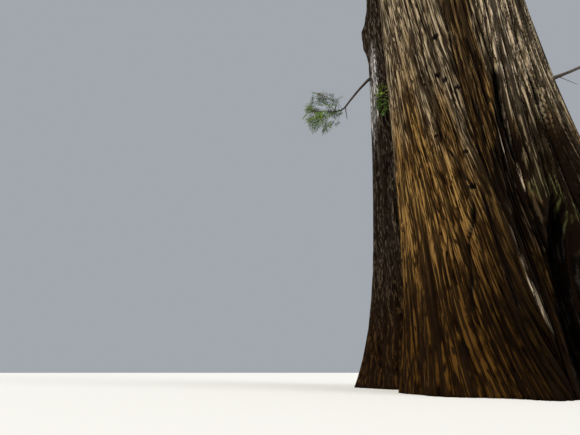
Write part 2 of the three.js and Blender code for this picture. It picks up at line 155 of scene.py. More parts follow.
# %% Write shader nodes as sums
class Wire:
    """The output of a shader node, which can be added, multiplied and mixed."""

    def __init__(self, socket):
        self.socket = socket
        self.tree = socket.id_data

    def node(self, kind, settings, sockets, output=0):
        made = self.tree.nodes.new(kind)
        for name, value in settings.items():
            setattr(made, name, value)
        for name, value in sockets.items():
            if isinstance(value, Wire):
                self.tree.links.new(value.socket, made.inputs[name])
            else:
                made.inputs[name].default_value = value
        return Wire(made.outputs[output])

    def maths(self, operation, a, b=0.0):
        return self.node("ShaderNodeMath", {"operation": operation}, {0: a, 1: b})

    def __add__(self, other):
        return self.maths("ADD", self, other)

    def __sub__(self, other):
        return self.maths("SUBTRACT", self, other)

    def __rsub__(self, other):
        return self.maths("SUBTRACT", other, self)

    def __mul__(self, other):
        return self.maths("MULTIPLY", self, other)

    __radd__ = __add__
    __rmul__ = __mul__

    def above(self, other):
        """The larger of the two."""
        return self.maths("MAXIMUM", self, other)

    def step(self, low, high):
        """0 below low, 1 above high, and smooth between."""
        return self.node(
            "ShaderNodeMapRange",
            {"interpolation_type": "SMOOTHSTEP"},
            {"Value": self, "From Min": low, "From Max": high},
        )

    def ramp(self, stops):
        """A colour that changes with this value, from stops of a value and a colour each."""
        made = self.node("ShaderNodeValToRGB", {}, {"Fac": self})
        elements = made.socket.node.color_ramp.elements
        while len(elements) < len(stops):
            elements.new(0.5)
        for element, (at, colour) in zip(elements, stops):
            element.position, element.color = at, (*colour, 1)
        return made

    def mix(self, first, second):
        """The first colour where this is 0 and the second where it is 1."""
        return self.node("ShaderNodeMix", {"data_type": "RGBA"}, {0: self, 6: first, 7: second}, 2)


def new_finish(name, roughness):
    """A material with its shader and the piece's own coordinates."""
    material = bpy.data.materials.new(name)
    material.use_nodes = True
    shader = material.node_tree.nodes["Principled BSDF"]
    shader.inputs["Roughness"].default_value = roughness
    place = Wire(material.node_tree.nodes.new("ShaderNodeTexCoord").outputs["Object"])
    return material, shader, place


def link(wire, shader, socket):
    wire.tree.links.new(wire.socket, shader.inputs[socket])


def noise(vector, scale, detail):
    """Noise with so many waves to a unit of the vector, and so many finer layers."""
    return vector.node("ShaderNodeTexNoise", {}, {"Vector": vector, "Scale": scale, "Detail": detail})


# %% [markdown]
# ## The shape of the stems
#
# Bark follows the wood, so the stems come first. Each has a centre line that leans, a radius that
# tapers and flares at the root, buttresses, and on the main trunk a fire scar: an inverted V of
# charred wood, a deep hollow at its foot, and a narrow cleft beside it. The rule is the solid
# model's own. It is written with arrays here, which handle a hundred thousand points at once.

# %% Sizes of both stems, in metres and degrees
TREE_HEIGHT = 40.0
GRAIN_TWIST = 0.11  # radians for each metre of height
MAIN = dict(height=37.8, butt=1.03, taper=0.85, flare=0.45, flare_height=1.6, tip=0.018)
SECOND = dict(height=29.8, butt=0.78, taper=0.95, flare=0.21, flare_height=1.1, tip=0.014)
BUTTRESSES = [
    (-152, 0.11, 14, 1.0),
    (-124, 0.14, 11, 0.9),
    (-93, 0.23, 8, 0.9),
    (-46, 0.33, 9, 1.2),
    (-10, 0.36, 15, 0.9),
    (32, 0.24, 16, 1.1),
    (80, 0.26, 17, 1.1),
]  # bearing, swell, half width, height
SECOND_BUTTRESSES = [(-170, 0.17, 18, 0.7), (120, 0.15, 20, 0.8), (70, 0.12, 18, 0.7)]
SCAR = dict(foot=-81.5, head=-74, depth=0.17, width=10.5, top=3.35, sharp=4)
HOLLOW = dict(foot=-71, head=-66, depth=0.62, width=14, top=1.8, sharp=4)
CLEFT = dict(foot=-56, head=-49.5, depth=0.15, width=3.2, top=4.3, sharp=2)
OPENINGS = (SCAR, HOLLOW, CLEFT)
BURL_BEARING, BURL_HEIGHT = 190, 5.9


def smooth(value, low, high):
    share = np.clip((value - low) / (high - low), 0, 1)
    return share * share * (3 - 2 * share)


def turn_between(angle, bearing):
    """The turn from a bearing in degrees to an angle, both ways up to half a turn, in radians."""
    away = angle - np.radians(bearing)
    return np.arctan2(np.sin(away), np.cos(away))


def swell_at(angle, bearing, width):
    return np.exp(-((turn_between(angle, bearing) / np.radians(width)) ** 2))


def main_axis(z):
    sweep = -0.45 * (1 - np.exp(-z / 3)) - 0.25 * (1 - np.exp(-z / 12))
    return np.stack([sweep, 0 * z, z], -1)


def second_axis(z):
    away = (np.maximum(0, z - 6) / (SECOND["height"] - 6)) ** 1.3
    return np.stack([-1.241 - 0.8 * away, 1.09 + 1.1 * away, z], -1)


def round_radius(stem, z):
    bole = stem["butt"] * np.maximum(0, 1 - z / stem["height"]) ** stem["taper"]
    return bole + stem["flare"] * np.exp(-z / stem["flare_height"]) + stem["tip"]


def fluting(angle, z):
    grain = angle + GRAIN_TWIST * z
    return 1 + 0.016 * np.cos(3 * grain + 0.9) + 0.013 * np.cos(5 * grain - 1.3)


def burnt_away(opening, angle, z):
    """How deep a burnt opening cuts in, as a share of its full depth."""
    rise = np.clip(z / opening["top"], 0, 1)
    lean = opening["foot"] + (opening["head"] - opening["foot"]) * rise**2
    width = np.radians(opening["width"]) * np.maximum(1 - rise, 1e-6) ** 0.6
    away = turn_between(angle, lean) / width
    section = np.exp(-(np.abs(away) ** opening["sharp"]))
    return np.where(z < opening["top"], (1 - rise) ** 0.35 * section, 0)


def add_buttresses(radius, buttresses, angle, z):
    for bearing, swell, width, height in buttresses:
        radius = radius + swell * swell_at(angle, bearing, width) * np.exp(-z / height)
    return radius


def main_radius(angle, z):
    radius = round_radius(MAIN, z) * fluting(angle, z)
    radius = radius * (1 - 0.05 * swell_at(angle + GRAIN_TWIST * z, 12, 38))
    radius = add_buttresses(radius, BUTTRESSES, angle, z)
    burnt = [opening["depth"] * burnt_away(opening, angle, z) for opening in OPENINGS]
    return radius - np.maximum.reduce(burnt)


def second_radius(angle, z):
    radius = round_radius(SECOND, z) * fluting(angle + 2, z)
    radius = add_buttresses(radius, SECOND_BUTTRESSES, angle, z)
    burl = 0.09 * swell_at(angle, BURL_BEARING, 24) * np.exp(-(((z - BURL_HEIGHT) / 0.42) ** 2))
    return radius + burl


print("main trunk's radius at the foot", round(float(round_radius(MAIN, 0.0)), 2), "m")

# %% [markdown]
# ## Ridges of bark
#
# Redwood bark is fibrous and splits into long ropes that meet and part again. It could be carved by
# hand or stamped from a picture, but between the ropes run furrows, and a furrow is easy to
# describe: a line that climbs with the grain, drifts to and fro, and fades out and in again. Two
# families of such lines with their own drift cross at narrow angles and leave a net of long ridges,
# and a third, finer family strips the ridges into cords. The lines close on themselves round the
# stem, so the bark has no seam.


# %% Noise and furrows that close round a stem
def scatter(i, j, salt):
    """A repeatable number between 0 and 1 for each whole numbered place."""
    raw = np.sin(i * 127.1 + j * 311.7 + salt * 74.7) * 43758.5453
    return raw - np.floor(raw)


def drift(line, along, salt):
    """Smooth noise from -1 to 1 along one numbered line."""
    j = np.floor(along)
    v = smooth(along - j, 0, 1)
    return 2 * (scatter(line, j, salt) * (1 - v) + scatter(line, j + 1, salt) * v) - 1


def wander(angle, along, count, salt):
    """Smooth noise from -1 to 1 with count waves round a stem."""
    around = angle / (2 * np.pi) * count
    i = np.floor(around)
    u = smooth(around - i, 0, 1)
    left, right = (drift(np.mod(i + step, count), along, salt) for step in (0, 1))
    return left * (1 - u) + right * u


def furrows(angle, z, count, length, fade, salt):
    """How far the nearest of count lines is, in shares of their spacing; more where it fades."""
    around = angle / (2 * np.pi) * count
    i = np.floor(around)
    nearest = np.full(np.shape(around), 9.0)
    for di in (-2, -1, 0, 1, 2):
        line = np.mod(i + di, count)
        phase = 7 * scatter(line, 0, salt + 5)
        x = i + di + 0.5 + 0.8 * drift(line, z / length + phase, salt)
        strength = smooth(drift(line, z / fade + 1.7 * phase, salt + 1), -0.8, 0.3)
        nearest = np.minimum(nearest, np.abs(around - x) + 0.6 * (1 - strength))
    return nearest


def cut(away, narrow, broad):
    """The section of a furrow: a narrow slit in a broad trough."""
    return 0.8 * np.exp(-((away / narrow) ** 2)) + 0.2 * np.exp(-((away / broad) ** 2))


def bent_grain(grain, z, count, stretch, salt):
    """The grain's turn with the drift of count ridges, in radians."""
    slow = wander(grain, 0.5 * z / stretch, 8, salt)
    quick = wander(grain, 1.4 * z / stretch, count // 2, salt + 1)
    return grain + (0.8 * slow + 0.2 * quick) * 2 * np.pi / count


def ropes(bent, z, count, stretch, salt):
    """Height of the bark, from 0 in a furrow to 1 on a crest, with count ridges round the stem."""
    wide = furrows(bent, z, count, 1.2 * stretch, 1.7 * stretch, salt + 10)
    crossing = furrows(bent, z, count * 3 // 4, 0.9 * stretch, stretch, salt + 30)
    cords = furrows(bent, z, count * 7 // 4, stretch, stretch, salt + 50)
    uneven = 0.1 * wander(bent, 0.6 * z / stretch, count, salt + 70)
    height = 1 + uneven - np.maximum(cut(wide, 0.13, 0.4), 0.6 * cut(crossing, 0.1, 0.3))
    return height - 0.55 * cut(cords, 0.2, 0.36) * (0.25 + 0.75 * height)


def ridged(grain, z, count, stretch, salt):
    """The bent grain and the bark's height over it."""
    bent = bent_grain(grain, z, count, stretch, salt)
    return bent, ropes(bent, z, count, stretch, salt)


# %% [markdown]
# ## Bark meshes
#
# Furrows this deep should show in the outline, so they are real relief and not only a bump in the
# finish. A tube is a cone with two equal ends, its upright edges cut into rings. Every point is then
# moved to its place on the stem, with the bark's height added. The points carry their own marks,
# such as how high they lie or how burnt they are, as named attributes that the finish reads. The
# tube's corners climb with the grain and stand closer together on the side with the scar. A trunk
# this large is split into pieces one above the other, each closed at both ends.


# %% Wrap a fine tube round a stem
def read_points(mesh):
    points = np.empty(3 * len(mesh.vertices))
    mesh.vertices.foreach_get("co", points)
    return points.reshape(-1, 3)


def wrap_tube(name, sides, rings, place):
    """A closed tube whose points are put where place(turn, share) says, with the marks it gives."""
    shape = bmesh.new()
    bmesh.ops.create_cone(shape, cap_ends=True, segments=sides, radius1=1, radius2=1, depth=1)
    upright = [edge for edge in shape.edges if abs(edge.verts[0].co.z - edge.verts[1].co.z) > 0.5]
    bmesh.ops.subdivide_edges(shape, edges=upright, cuts=rings - 1, use_grid_fill=True)
    mesh = bpy.data.meshes.new(name)
    shape.to_mesh(mesh)
    shape.free()
    start = read_points(mesh)
    points, marks = place(np.arctan2(start[:, 1], start[:, 0]), start[:, 2] + 0.5)
    mesh.vertices.foreach_set("co", points.ravel())
    for mark, values in marks.items():
        kind, field = ("FLOAT", "value") if values.ndim == 1 else ("FLOAT_VECTOR", "vector")
        mesh.attributes.new(mark, kind, "POINT").data.foreach_set(field, values.ravel())
    mesh.polygons.foreach_set("use_smooth", [len(face.vertices) == 4 for face in mesh.polygons])
    mesh.update()
    return mesh


CROWDED_BEARING = math.radians(-95)
BARK_SPLIT = 6.5  # metres, where the lower piece of a stem's bark ends


def stem_place(axis_at, bark_at, crowd, low, high, joined_sides):
    """Puts a tube's points on a stem between two heights, crowded to one side.

    With joined_sides, its top ring fits a tube with half as many sides.
    """

    def at(turn, z):
        straight = turn - GRAIN_TWIST * z
        angle = straight - crowd * np.sin(straight - CROWDED_BEARING)
        radius, bent, marks = bark_at(angle, z)
        marks["fibre"] = np.stack([np.cos(bent), np.sin(bent), z], -1)
        out = np.stack([radius * np.cos(angle), radius * np.sin(angle), 0 * z], -1)
        return axis_at(z) + out, marks

    def place(turn, share):
        z = low + (high - low) * share
        points, marks = at(turn, z)
        if joined_sides:
            step = 2 * np.pi / joined_sides
            odd = (np.round(turn / step) % 2 == 1) & (z > high - 0.001)
            points[odd] = (at(turn[odd] - step, z[odd])[0] + at(turn[odd] + step, z[odd])[0]) / 2
        return points, marks

    return place


def wrap_stem(axis_at, bark_at, crowd, pieces):
    """A stem's bark in tubes: each has a name, sides, rings, two heights and 1 if its top is joined."""
    meshes = [
        wrap_tube(name, sides, rings, stem_place(axis_at, bark_at, crowd, low, high, joined * sides))
        for name, sides, rings, low, high, joined in pieces
    ]
    print([len(mesh.vertices) for mesh in meshes], "points of bark")
    return meshes


def add_piece(mesh, finish, nodes):
    """Puts a finished mesh in the scene, riding on the tree in place of the solids named."""
    mesh.materials.append(finish)
    piece = put(mesh.name, mesh)
    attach(piece, "root")
    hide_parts(*nodes)
    triangles = sum(len(face.vertices) - 2 for face in mesh.polygons)
    print(f"{mesh.name}: {triangles} triangles")


# %% [markdown]
# ### Marks on the main trunk
#
# No two sides of an old trunk are alike. Its marks are listed by bearing and height, as lines that
# run downwards: creases and fissures painted black with their shade, pale ridges, slivers of bare
# wood, a torn plate, and the ragged edges of the fire scar. Noise alone would put none of them in
# its place.

# %% List the marks: bearings in degrees, heights in metres and half widths in degrees
# A knot is its bearing, its height and its radius in metres. It is a black spot: the painted shade of a knot
# hole.
KNOTS = [(-107.5, 3.5, 0.055), (-103.8, 3.39, 0.055), (-96.4, 3.24, 0.055), (-104, 4.04, 0.065)]
KNOTS += [(-101, 2.0, 0.06), (-100.2, 2.41, 0.04), (-115.4, 2.71, 0.03), (-118, 3.45, 0.03)]
SECOND_KNOTS = [(-120, 3.14, 0.1), (-122, 2.98, 0.06), (-115, 3.28, 0.06)]
CREASES = [
    ([(-111, 2.55), (-107.9, 2.41), (-105.6, 2.28), (-103.4, 2.08), (-100, 2.0)], 0.85),
    ([(-102.3, 1.8), (-104.6, 1.6), (-108.9, 1.4), (-109.8, 1.28), (-110.8, 1.03), (-112.7, 0.7)], 0.8),
    ([(-94.2, 2.5), (-92.9, 2.3), (-91.7, 2.03), (-90.4, 1.75)], 0.8),
    ([(-90.6, 3.05), (-90.2, 2.7)], 0.6),
    ([(-88.4, 3.1), (-88.9, 2.75), (-89.5, 2.4)], 0.8),
    ([(-112.8, 3.05), (-113.8, 2.9), (-113.2, 2.6)], 0.6),
    ([(-101.4, 3.4), (-100.2, 2.6)], 0.45),
    ([(-105.2, 2.9), (-103.9, 2.5)], 0.4),
    ([(-98, 2.8), (-96.7, 2.4)], 0.4),
    ([(-119.6, 1.85), (-116.7, 1.64), (-116.4, 1.25)], 0.4),
    ([(-97.4, 1.9), (-96.2, 1.35), (-95.6, 0.7)], 1.1),
    ([(-85.3, 3.9), (-83.4, 3.4), (-82.7, 2.9)], 0.9),
    ([(-74, 3.4), (-74.6, 3.2), (-76, 2.95), (-76.8, 2.69), (-76.4, 2.5), (-75, 2.2)], 2.9),
    ([(-76, 4.2), (-74.5, 3.7), (-74, 3.2)], 0.8),
]
PALE_RIDGES = [
    ([(-66.4, 5.2), (-65.2, 4.2), (-65.8, 3.3), (-67, 2.8)], 1.3),
    ([(-62, 5.2), (-61.2, 4.2), (-62, 3.1)], 1.5),
    ([(-70, 4.6), (-69.6, 3.9), (-70.8, 3.1)], 1.1),
]
SLIVERS = [
    ([(-89.4, 1.5), (-88.7, 0.95)], 0.45),
    ([(-88.8, 1.0), (-88, 0.75), (-86.2, 0.48)], 1.0),
    ([(-80.5, 2.65), (-80.6, 2.3)], 0.5),
    ([(-80.4, 2.3), (-79.4, 1.85), (-77.8, 1.4)], 0.25),
    ([(-73.9, 2.9), (-75.4, 2.33), (-75.8, 1.9)], 0.5),
    ([(-69.4, 3.05), (-69.7, 2.72)], 0.5),
    ([(-66, 3.05), (-66.2, 2.78)], 0.5),
]
BARE_PLATE = [(-103, 1.9), (-105.5, 1.68), (-108.4, 1.46)]
SCAR_LEFT = [(-75, 3.32), (-79.4, 2.9), (-81.8, 2.55), (-88.6, 2.36)]
SCAR_LEFT += [(-89.9, 1.9), (-89.4, 1.4), (-88.5, 0.9), (-86, 0.4)]
SCAR_RIGHT = [(-72.5, 3.32), (-73.4, 2.85), (-75.4, 2.32), (-74, 1.9), (-70, 1.5), (-62, 1.0), (-60, 0.4)]
ROOT_BARK = [(-83, 1.5), (-81.5, 1.1), (-80.5, 0.8), (-82, 0.4)]
LEFT_BORDER = [(-96.5, 4.8), (-95.5, 2.9), (-93.5, 2.4), (-91, 1.8), (-89.4, 1.3), (-88.4, 0.4)]
RIGHT_BORDER = [(-73.5, 4.8), (-74.5, 3.2), (-77.5, 2.4), (-77, 1.4)]
print(len(CREASES), "creases,", len(SLIVERS), "slivers,", len(PALE_RIDGES), "pale ridges")


def beside(angle, z, points):
    """How many degrees a bearing lies to the right of a line of points that runs downwards."""
    bearings, heights = zip(*points[::-1])
    return np.degrees(turn_between(angle, np.interp(z, heights, bearings)))


def stroke(angle, z, points, width):
    """1 on a line of points and 0 away from it, thinning out at both ends."""
    head, foot = points[0][1], points[-1][1]
    ends = smooth(z, foot - 0.05, foot + 0.12) * (1 - smooth(z, head - 0.12, head + 0.05))
    away = beside(angle, z, points) / (width * (0.35 + 0.65 * ends))
    return np.exp(-(away**4)) * smooth(ends, 0, 0.5)


def strokes(angle, z, lines):
    """The strongest of several strokes."""
    return np.maximum.reduce([stroke(angle, z, points, width) for points, width in lines])


def band(value, rise, fall):
    """1 between two edges and 0 outside them, each edge smooth over a range."""
    return smooth(value, *rise) * (1 - smooth(value, *fall))


# %% [markdown]
# ### The main trunk's grain
#
# Below 4.8 m the grain leans differently in three zones, which meet at a border up the middle of the
# face and at another beside the scar. Near the ground it splays out over the buttresses. Higher up
# it is the same all round, and the ridges there can be wider, because they are seen from far away.

# %% Lean the grain and raise the ridges
FURROW = 0.05  # metres deep
RIDGES = 120
UPPER_RIDGES = 40
LEAN_TOP = 4.8  # metres
UPPER_BARK = (5.5, 9.5)  # metres, where the lower bark gives way to the upper
ZONE_END = 160  # degrees past a border, behind the trunk


def leaning_bark(angle, z, swing):
    """Bent grain and bark height where the grain leans less by swing, a share of a radian to a metre."""
    grain = angle + GRAIN_TWIST * z + swing * np.maximum(0, LEAN_TOP - z)
    splay = 0.08 * np.exp(-z / 0.9) * wander(grain, z * 0.9, 14, 41)
    return ridged(grain + splay, z, RIDGES, 1, 11)


def main_relief(angle, z, degrees):
    """Bent grain and bark height of the whole trunk, before the fire."""
    bent, relief = leaning_bark(angle, z, 0)
    right_swing = 0.17 * (1 - smooth(degrees, -45, 80))
    for swing, border in ((0.09, LEFT_BORDER), (right_swing, RIGHT_BORDER)):
        past = beside(angle, z, border)
        next_bent, next_relief = leaning_bark(angle, z, swing)
        share = smooth(past, -0.3, 0.9) * (past < ZONE_END)
        relief = relief * (1 - share) + next_relief * share
        bent = np.where(share > 0.5, next_bent, bent)
    up = smooth(z, *UPPER_BARK)
    upper = ridged(angle + GRAIN_TWIST * z, z, UPPER_RIDGES, 2.2, 23)[1]
    return bent, relief * (1 - up) + upper * up


# %% [markdown]
# ### The main trunk's bark
#
# Fire and weather come on top. Inside the scar, the hollow and the cleft the wood is charcoal with
# ribs of its own, and the hollow and the cleft are black with char and painted shade. Soot covers
# the bark round the scar but for one root edge, and moss grows to the right of it. A strip of fresh
# red brown bark runs up beside the scar, and the right side is pale and grey above the moss.
# Painted shade darkens the strip, the bark past the scar, and all of it towards the foot. These
# could be painted by hand. Here each is a share from 0 to 1 by bearing and height, with a ragged
# edge, and the points carry it.


# %% Mark fire, moss and painted shade
def fire_and_moss(angle, z, degrees, ragged):
    """Where soot lies round the scar, and moss to the right of it."""
    left, right = beside(angle, z, SCAR_LEFT) + ragged, beside(angle, z, SCAR_RIGHT) + ragged
    off_root = np.abs(beside(angle, z, ROOT_BARK) + ragged)
    root = (1 - smooth(off_root, 2.2, 3.6)) * (1 - smooth(z, 1.2, 1.5))
    soot = smooth(left, -1, 1) * (1 - smooth(right, -1, 1.5)) * (1 - smooth(z, 3.15, 3.4)) * (1 - root)
    moss = smooth(right, -1, 2) * (1 - smooth(degrees, -30, -14))
    return soot, moss * (1 - smooth(z + 0.2 * ragged, 2.4, 3.1))


def main_painted_shade(angle, z, degrees, ragged, strip):
    """Painted shade: how much darker the bark is in the fresh strip, low down and past the scar."""
    darker = 0.1 + 0.45 * (1 - smooth(z, 1.0, 2.5)) - 0.1 * smooth(z, 2.8, 3.4)
    low = smooth(degrees + ragged, -109, -97) * (1 - smooth(degrees, -60, 0)) * darker
    past_scar = band(degrees, (-77, -73), (-36, -14)) * (1 - smooth(z, 2.3, 3.0))
    facing = 0.25 + 0.37 * smooth(np.cos(angle - CROWDED_BEARING), 0, 0.6)
    foot = facing * (1 - smooth(z, 0.5, 1.9))
    return 1 - (1 - 0.48 * strip) * (1 - low) * (1 - foot) * (1 - 0.45 * past_scar)


# %% Wrap the main trunk
def main_bark(angle, z):
    """Radius, bent grain and marks of the main trunk's bark at each bearing and height."""
    degrees = np.degrees(turn_between(angle, 0))
    bent, relief = main_relief(angle, z, degrees)
    scar, hollow, cleft = (burnt_away(opening, angle, z) for opening in OPENINGS)
    burnt = smooth(np.maximum.reduce([scar, hollow, cleft]), 0.04, 0.3)
    ribs = ropes(bent, z, 112, 0.8, 31)
    ridge = strokes(angle, z, PALE_RIDGES)
    relief = np.maximum(relief * (1 - burnt) + ribs * burnt, 0.95 * ridge)
    pale = band(degrees, (-75, -69), (-52, -40)) * smooth(z, 2.8, 3.5) * (1 - smooth(z, 5, 7))
    bleached = (0.62 * pale + 0.35 * ridge) * np.clip(relief, 0, 1) ** 1.2
    bare = np.maximum(strokes(angle, z, SLIVERS), bleached)
    plate = stroke(angle, z, BARE_PLATE, 1.6)
    relief = np.maximum(relief, 1.15 * plate)
    pits = strokes(angle, z, CREASES)
    deep = FURROW * np.minimum(1, round_radius(MAIN, z) / 0.9) ** 0.8
    radius = main_radius(angle, z) + deep * (relief - 0.8) + 0.05 * (ribs - 0.6) * burnt
    radius = radius + 0.02 * (bare + plate) - 0.022 * pits

    ragged = 1.4 * wander(bent, z * 2, RIDGES, 95)
    soot, moss = fire_and_moss(angle, z, degrees, ragged)
    strip = band(degrees + 2 * ragged, (-98, -92), (-81, -77)) * (1 - smooth(z, 5, 7))
    grey_side = band(degrees, (-75, -69), (-30, -10)) * smooth(z, 1.9, 3.0)
    tone = wander(angle + GRAIN_TWIST * z, z * 0.7, 36, 91) + 1.7 * grey_side
    black = smooth(np.maximum(hollow, cleft), 0.08, 0.35)
    marks = dict(relief=relief, tone=tone, soot=soot, moss=moss, bare=bare, fresh=strip)
    # black of char, with painted shade in the hollow, the cleft and the creases
    marks["char_and_shade"] = np.clip(black + pits, 0, 1)
    # painted shade: darker in the fresh strip, low down and past the scar
    marks["painted_shade"] = main_painted_shade(angle, z, degrees, ragged, strip)
    return radius, bent, marks


TRUNK_PIECES = [
    ("trunk_bark_foot", 560, 174, 0, BARK_SPLIT, 1),
    ("trunk_bark_upper", 280, 320, BARK_SPLIT, MAIN["height"], 0),
]
trunk_meshes = wrap_stem(main_axis, main_bark, 0.6, TRUNK_PIECES)

# %% [markdown]
# ### The second stem's bark
#
# The second stem stands in the shade, and its finish paints that shade in: darker colours all
# over, and more painted shade low down. Its bark is finer, shorter and rougher, with a lumpy burl
# on its left side, charcoal and painted shade low down towards the main trunk, and a grey stripe
# with ragged ends where the bark has worn away. The same furrows serve, in another size.

# %% Wrap the second stem
SECOND_RIDGES = 56
SECOND_FURROW = 0.045  # metres deep


def second_bark(angle, z):
    """Radius, bent grain and marks of the second stem's bark at each bearing and height."""
    grain = angle + GRAIN_TWIST * z
    bent, lower = ridged(grain, z, SECOND_RIDGES, 0.55, 61)
    upper = ridged(grain, z, SECOND_RIDGES // 2, 1.7, 73)[1]
    up = smooth(z, *UPPER_BARK)
    relief = lower * (1 - up) + upper * up
    worn_side = swell_at(angle + 0.14 * wander(grain, z * 1.1, SECOND_RIDGES, 83), -147, 14)
    worn_height = z + 0.45 * wander(grain, z * 0.3, SECOND_RIDGES, 84)
    bare = smooth(worn_side, 0.35, 0.6) * smooth(worn_height, 3.5, 4.1) * (1 - smooth(worn_height, 4.9, 5.5))
    lumps = swell_at(angle, BURL_BEARING, 30) * np.exp(-(((z - BURL_HEIGHT) / 0.5) ** 2))
    lumpy = 0.05 * lumps * wander(grain, z * 5, 38, 81)
    deep = SECOND_FURROW * np.minimum(1, round_radius(SECOND, z) / 0.7) ** 0.8
    radius = second_radius(angle, z) + deep * (relief - 0.8) * (1 - 0.6 * bare) + lumpy
    marks = dict(relief=relief, bare=bare, soot=0 * z, moss=0 * z, fresh=0 * z)
    marks["tone"] = wander(grain, z * 0.9, 24, 92)
    # char and painted shade low down where the two stems meet
    marks["char_and_shade"] = 0.85 * smooth(swell_at(angle, -55, 30) * np.exp(-z / 1.2), 0.15, 0.6)
    # painted shade low on the second stem, fading out between 5 and 10 m
    marks["painted_shade"] = 0.74 * (1 - bare) * (1 - smooth(z, 5, 10))
    return radius, bent, marks


SECOND_PIECES = [
    ("second_bark_lower", 360, 200, 0, BARK_SPLIT, 0),
    ("second_bark_upper", 180, 200, BARK_SPLIT, SECOND["height"], 0),
]
second_meshes = wrap_stem(second_axis, second_bark, 0, SECOND_PIECES)

# %% [markdown]
# ## Bark finishes
#
# Old redwood bark is grey and bleached on its crests and a dark red brown in its furrows, and it is
# warmer near the ground, where it is freshly rubbed. The finish reads each point's height in the
# bark and picks the colour from a ramp, which goes nearly black at the bottom of a furrow: red brown
# with painted shade. Noise stretched along the grain adds fibres, flakes, dark lines and dashes,
# both in the colour and as a fine bump; the lines and dashes are cracks painted with their shade.
# Darker colours towards the foot, painted shade, moss, soot and bare wood go over that. Knots are
# only colour: dark spots at set places, the painted shade of knot holes, with edges frayed by the
# same noise.

# %% Write the bark finish
MARKS = ("relief", "tone", "char_and_shade", "soot", "moss", "bare", "fresh", "painted_shade")
# the lowest stops are the furrows' red brown with painted shade, nearly black at the bottom
DEPTH_STOPS = (0.06, 0.3, 0.56, 0.86)  # from the bottom of a furrow to a crest


def bark_finish(name, warm, weathered, warm_to, fineness, stretch, bare_wood, knots):
    """Furrowed bark: warm below a height and weathered above it, with each ramp's four colours."""
    material, shader, place = new_finish(name, 0.9)
    relief, tone, char_and_shade, soot, moss, bare, fresh, painted_shade = (
        place.node("ShaderNodeAttribute", {"attribute_name": mark}, {}, 2) for mark in MARKS
    )
    height = place.node("ShaderNodeSeparateXYZ", {}, {0: place}, 2)
    fibre = place.node("ShaderNodeAttribute", {"attribute_name": "fibre"}, {}, 1)

    def fibres(around, along, detail):
        """Noise drawn out along the grain, with so many waves to a radian and to a metre."""
        waves = (around, around, along)
        drawn = place.node("ShaderNodeVectorMath", {"operation": "MULTIPLY"}, {0: fibre, 1: waves})
        return noise(drawn, 1.0, detail)

    def dark_lines(around, along, width):
        """Thin lines that run with the grain: 1 on a line and 0 beside it."""
        return 1 - place.maths("ABSOLUTE", fibres(around, along, 2.0) - 0.5).step(0.4 * width, width)

    strands = fibres(34 * fineness, 0.8, 2.0)
    threads = fibres(52 * fineness, 4.4 / stretch, 2.0)
    fine = threads.step(0.32, 0.68)
    patches = fibres(1.6, 0.6, 3.0)
    broken = fibres(12 * fineness, 2.4, 2.0)
    dashes = fibres(58 * fineness, 6.0 / stretch, 1.0).step(0.63, 0.68)
    # dark lines and dashes: cracks painted with their shade
    long_lines = dark_lines(16 * fineness, 0.3, 0.06) * broken.step(0.32, 0.4)
    short_lines = dark_lines(40 * fineness, 1.4 / stretch, 0.06) * broken.step(0.78, 0.66)
    lines = long_lines.above(short_lines).above(dashes)
    flakes = (fibres(22 * fineness, 9.0, 3.0) - 0.5) * (1 - (height + tone * 0.3).step(0.7, 1.8))
    # darker colours towards the foot
    near_foot = 1 - (height + patches * 0.9).step(0.6, 2.8)
    depth = relief * 0.42 + (strands - 0.5) * 0.5 + (fine - 0.5) * 0.56 + flakes + 0.4 - near_foot * 0.05

    def by_depth(colours):
        return depth.ramp(list(zip(DEPTH_STOPS, colours)))

    level = height + patches * 2.4 + tone * 0.9
    aged = level.step(warm_to, warm_to + 1.5) * (1 - fresh * 0.85)
    colour = aged.mix(by_depth(warm), by_depth(weathered))
    colour = (near_foot * 0.85).mix(colour, by_depth(NEAR_FOOT_COLOURS))
    # painted shade darkens the colour towards black
    colour = painted_shade.mix(colour, (0, 0, 0, 1))
    green = patches.step(0.4, 0.55) * threads.step(0.35, 0.6)
    colour = (moss * 0.92).mix(colour, green.mix(depth.ramp(SOOTY), depth.ramp(MOSSY)))
    colour = (soot * 0.97).mix(colour, depth.ramp(CHARRED))
    colour = (bare * 0.9).mix(colour, fine.ramp(bare_wood))
    # black spots: char, and painted shade in the hollow, the creases and the knot holes
    blackened = char_and_shade
    for centre, size in knots:
        off = place.node("ShaderNodeVectorMath", {"operation": "DISTANCE"}, {0: place, 1: centre}, 1)
        blackened = blackened.above(1 - (off + threads * size * 0.9).step(size, 1.35 * size))
    colour = blackened.mix(colour, depth.ramp(CHARCOAL_AND_SHADE))
    # cracks painted with their shade
    link((lines * 0.9).mix(colour, CRACK_SHADE), shader, "Base Color")
    shader.inputs["Specular IOR Level"].default_value = 0.02
    grainy = strands * 0.8 + threads * 0.5 - lines * 0.5
    bump = place.node("ShaderNodeBump", {}, {"Strength": 1.0, "Distance": 0.02, "Height": grainy})
    link(bump, shader, "Normal")
    link(0.98 - 0.14 * relief, shader, "Roughness")
    return material


# %% Colour both stems
BARE_WOOD = [(0.15, (0.13, 0.098, 0.065)), (0.85, (0.52, 0.42, 0.3))]
BLEACHED = [(0.1, (0.2, 0.19, 0.185)), (0.8, (0.62, 0.6, 0.59))]
# the dark of a crack, painted shade
CRACK_SHADE = (0.006, 0.003, 0.0015, 1)
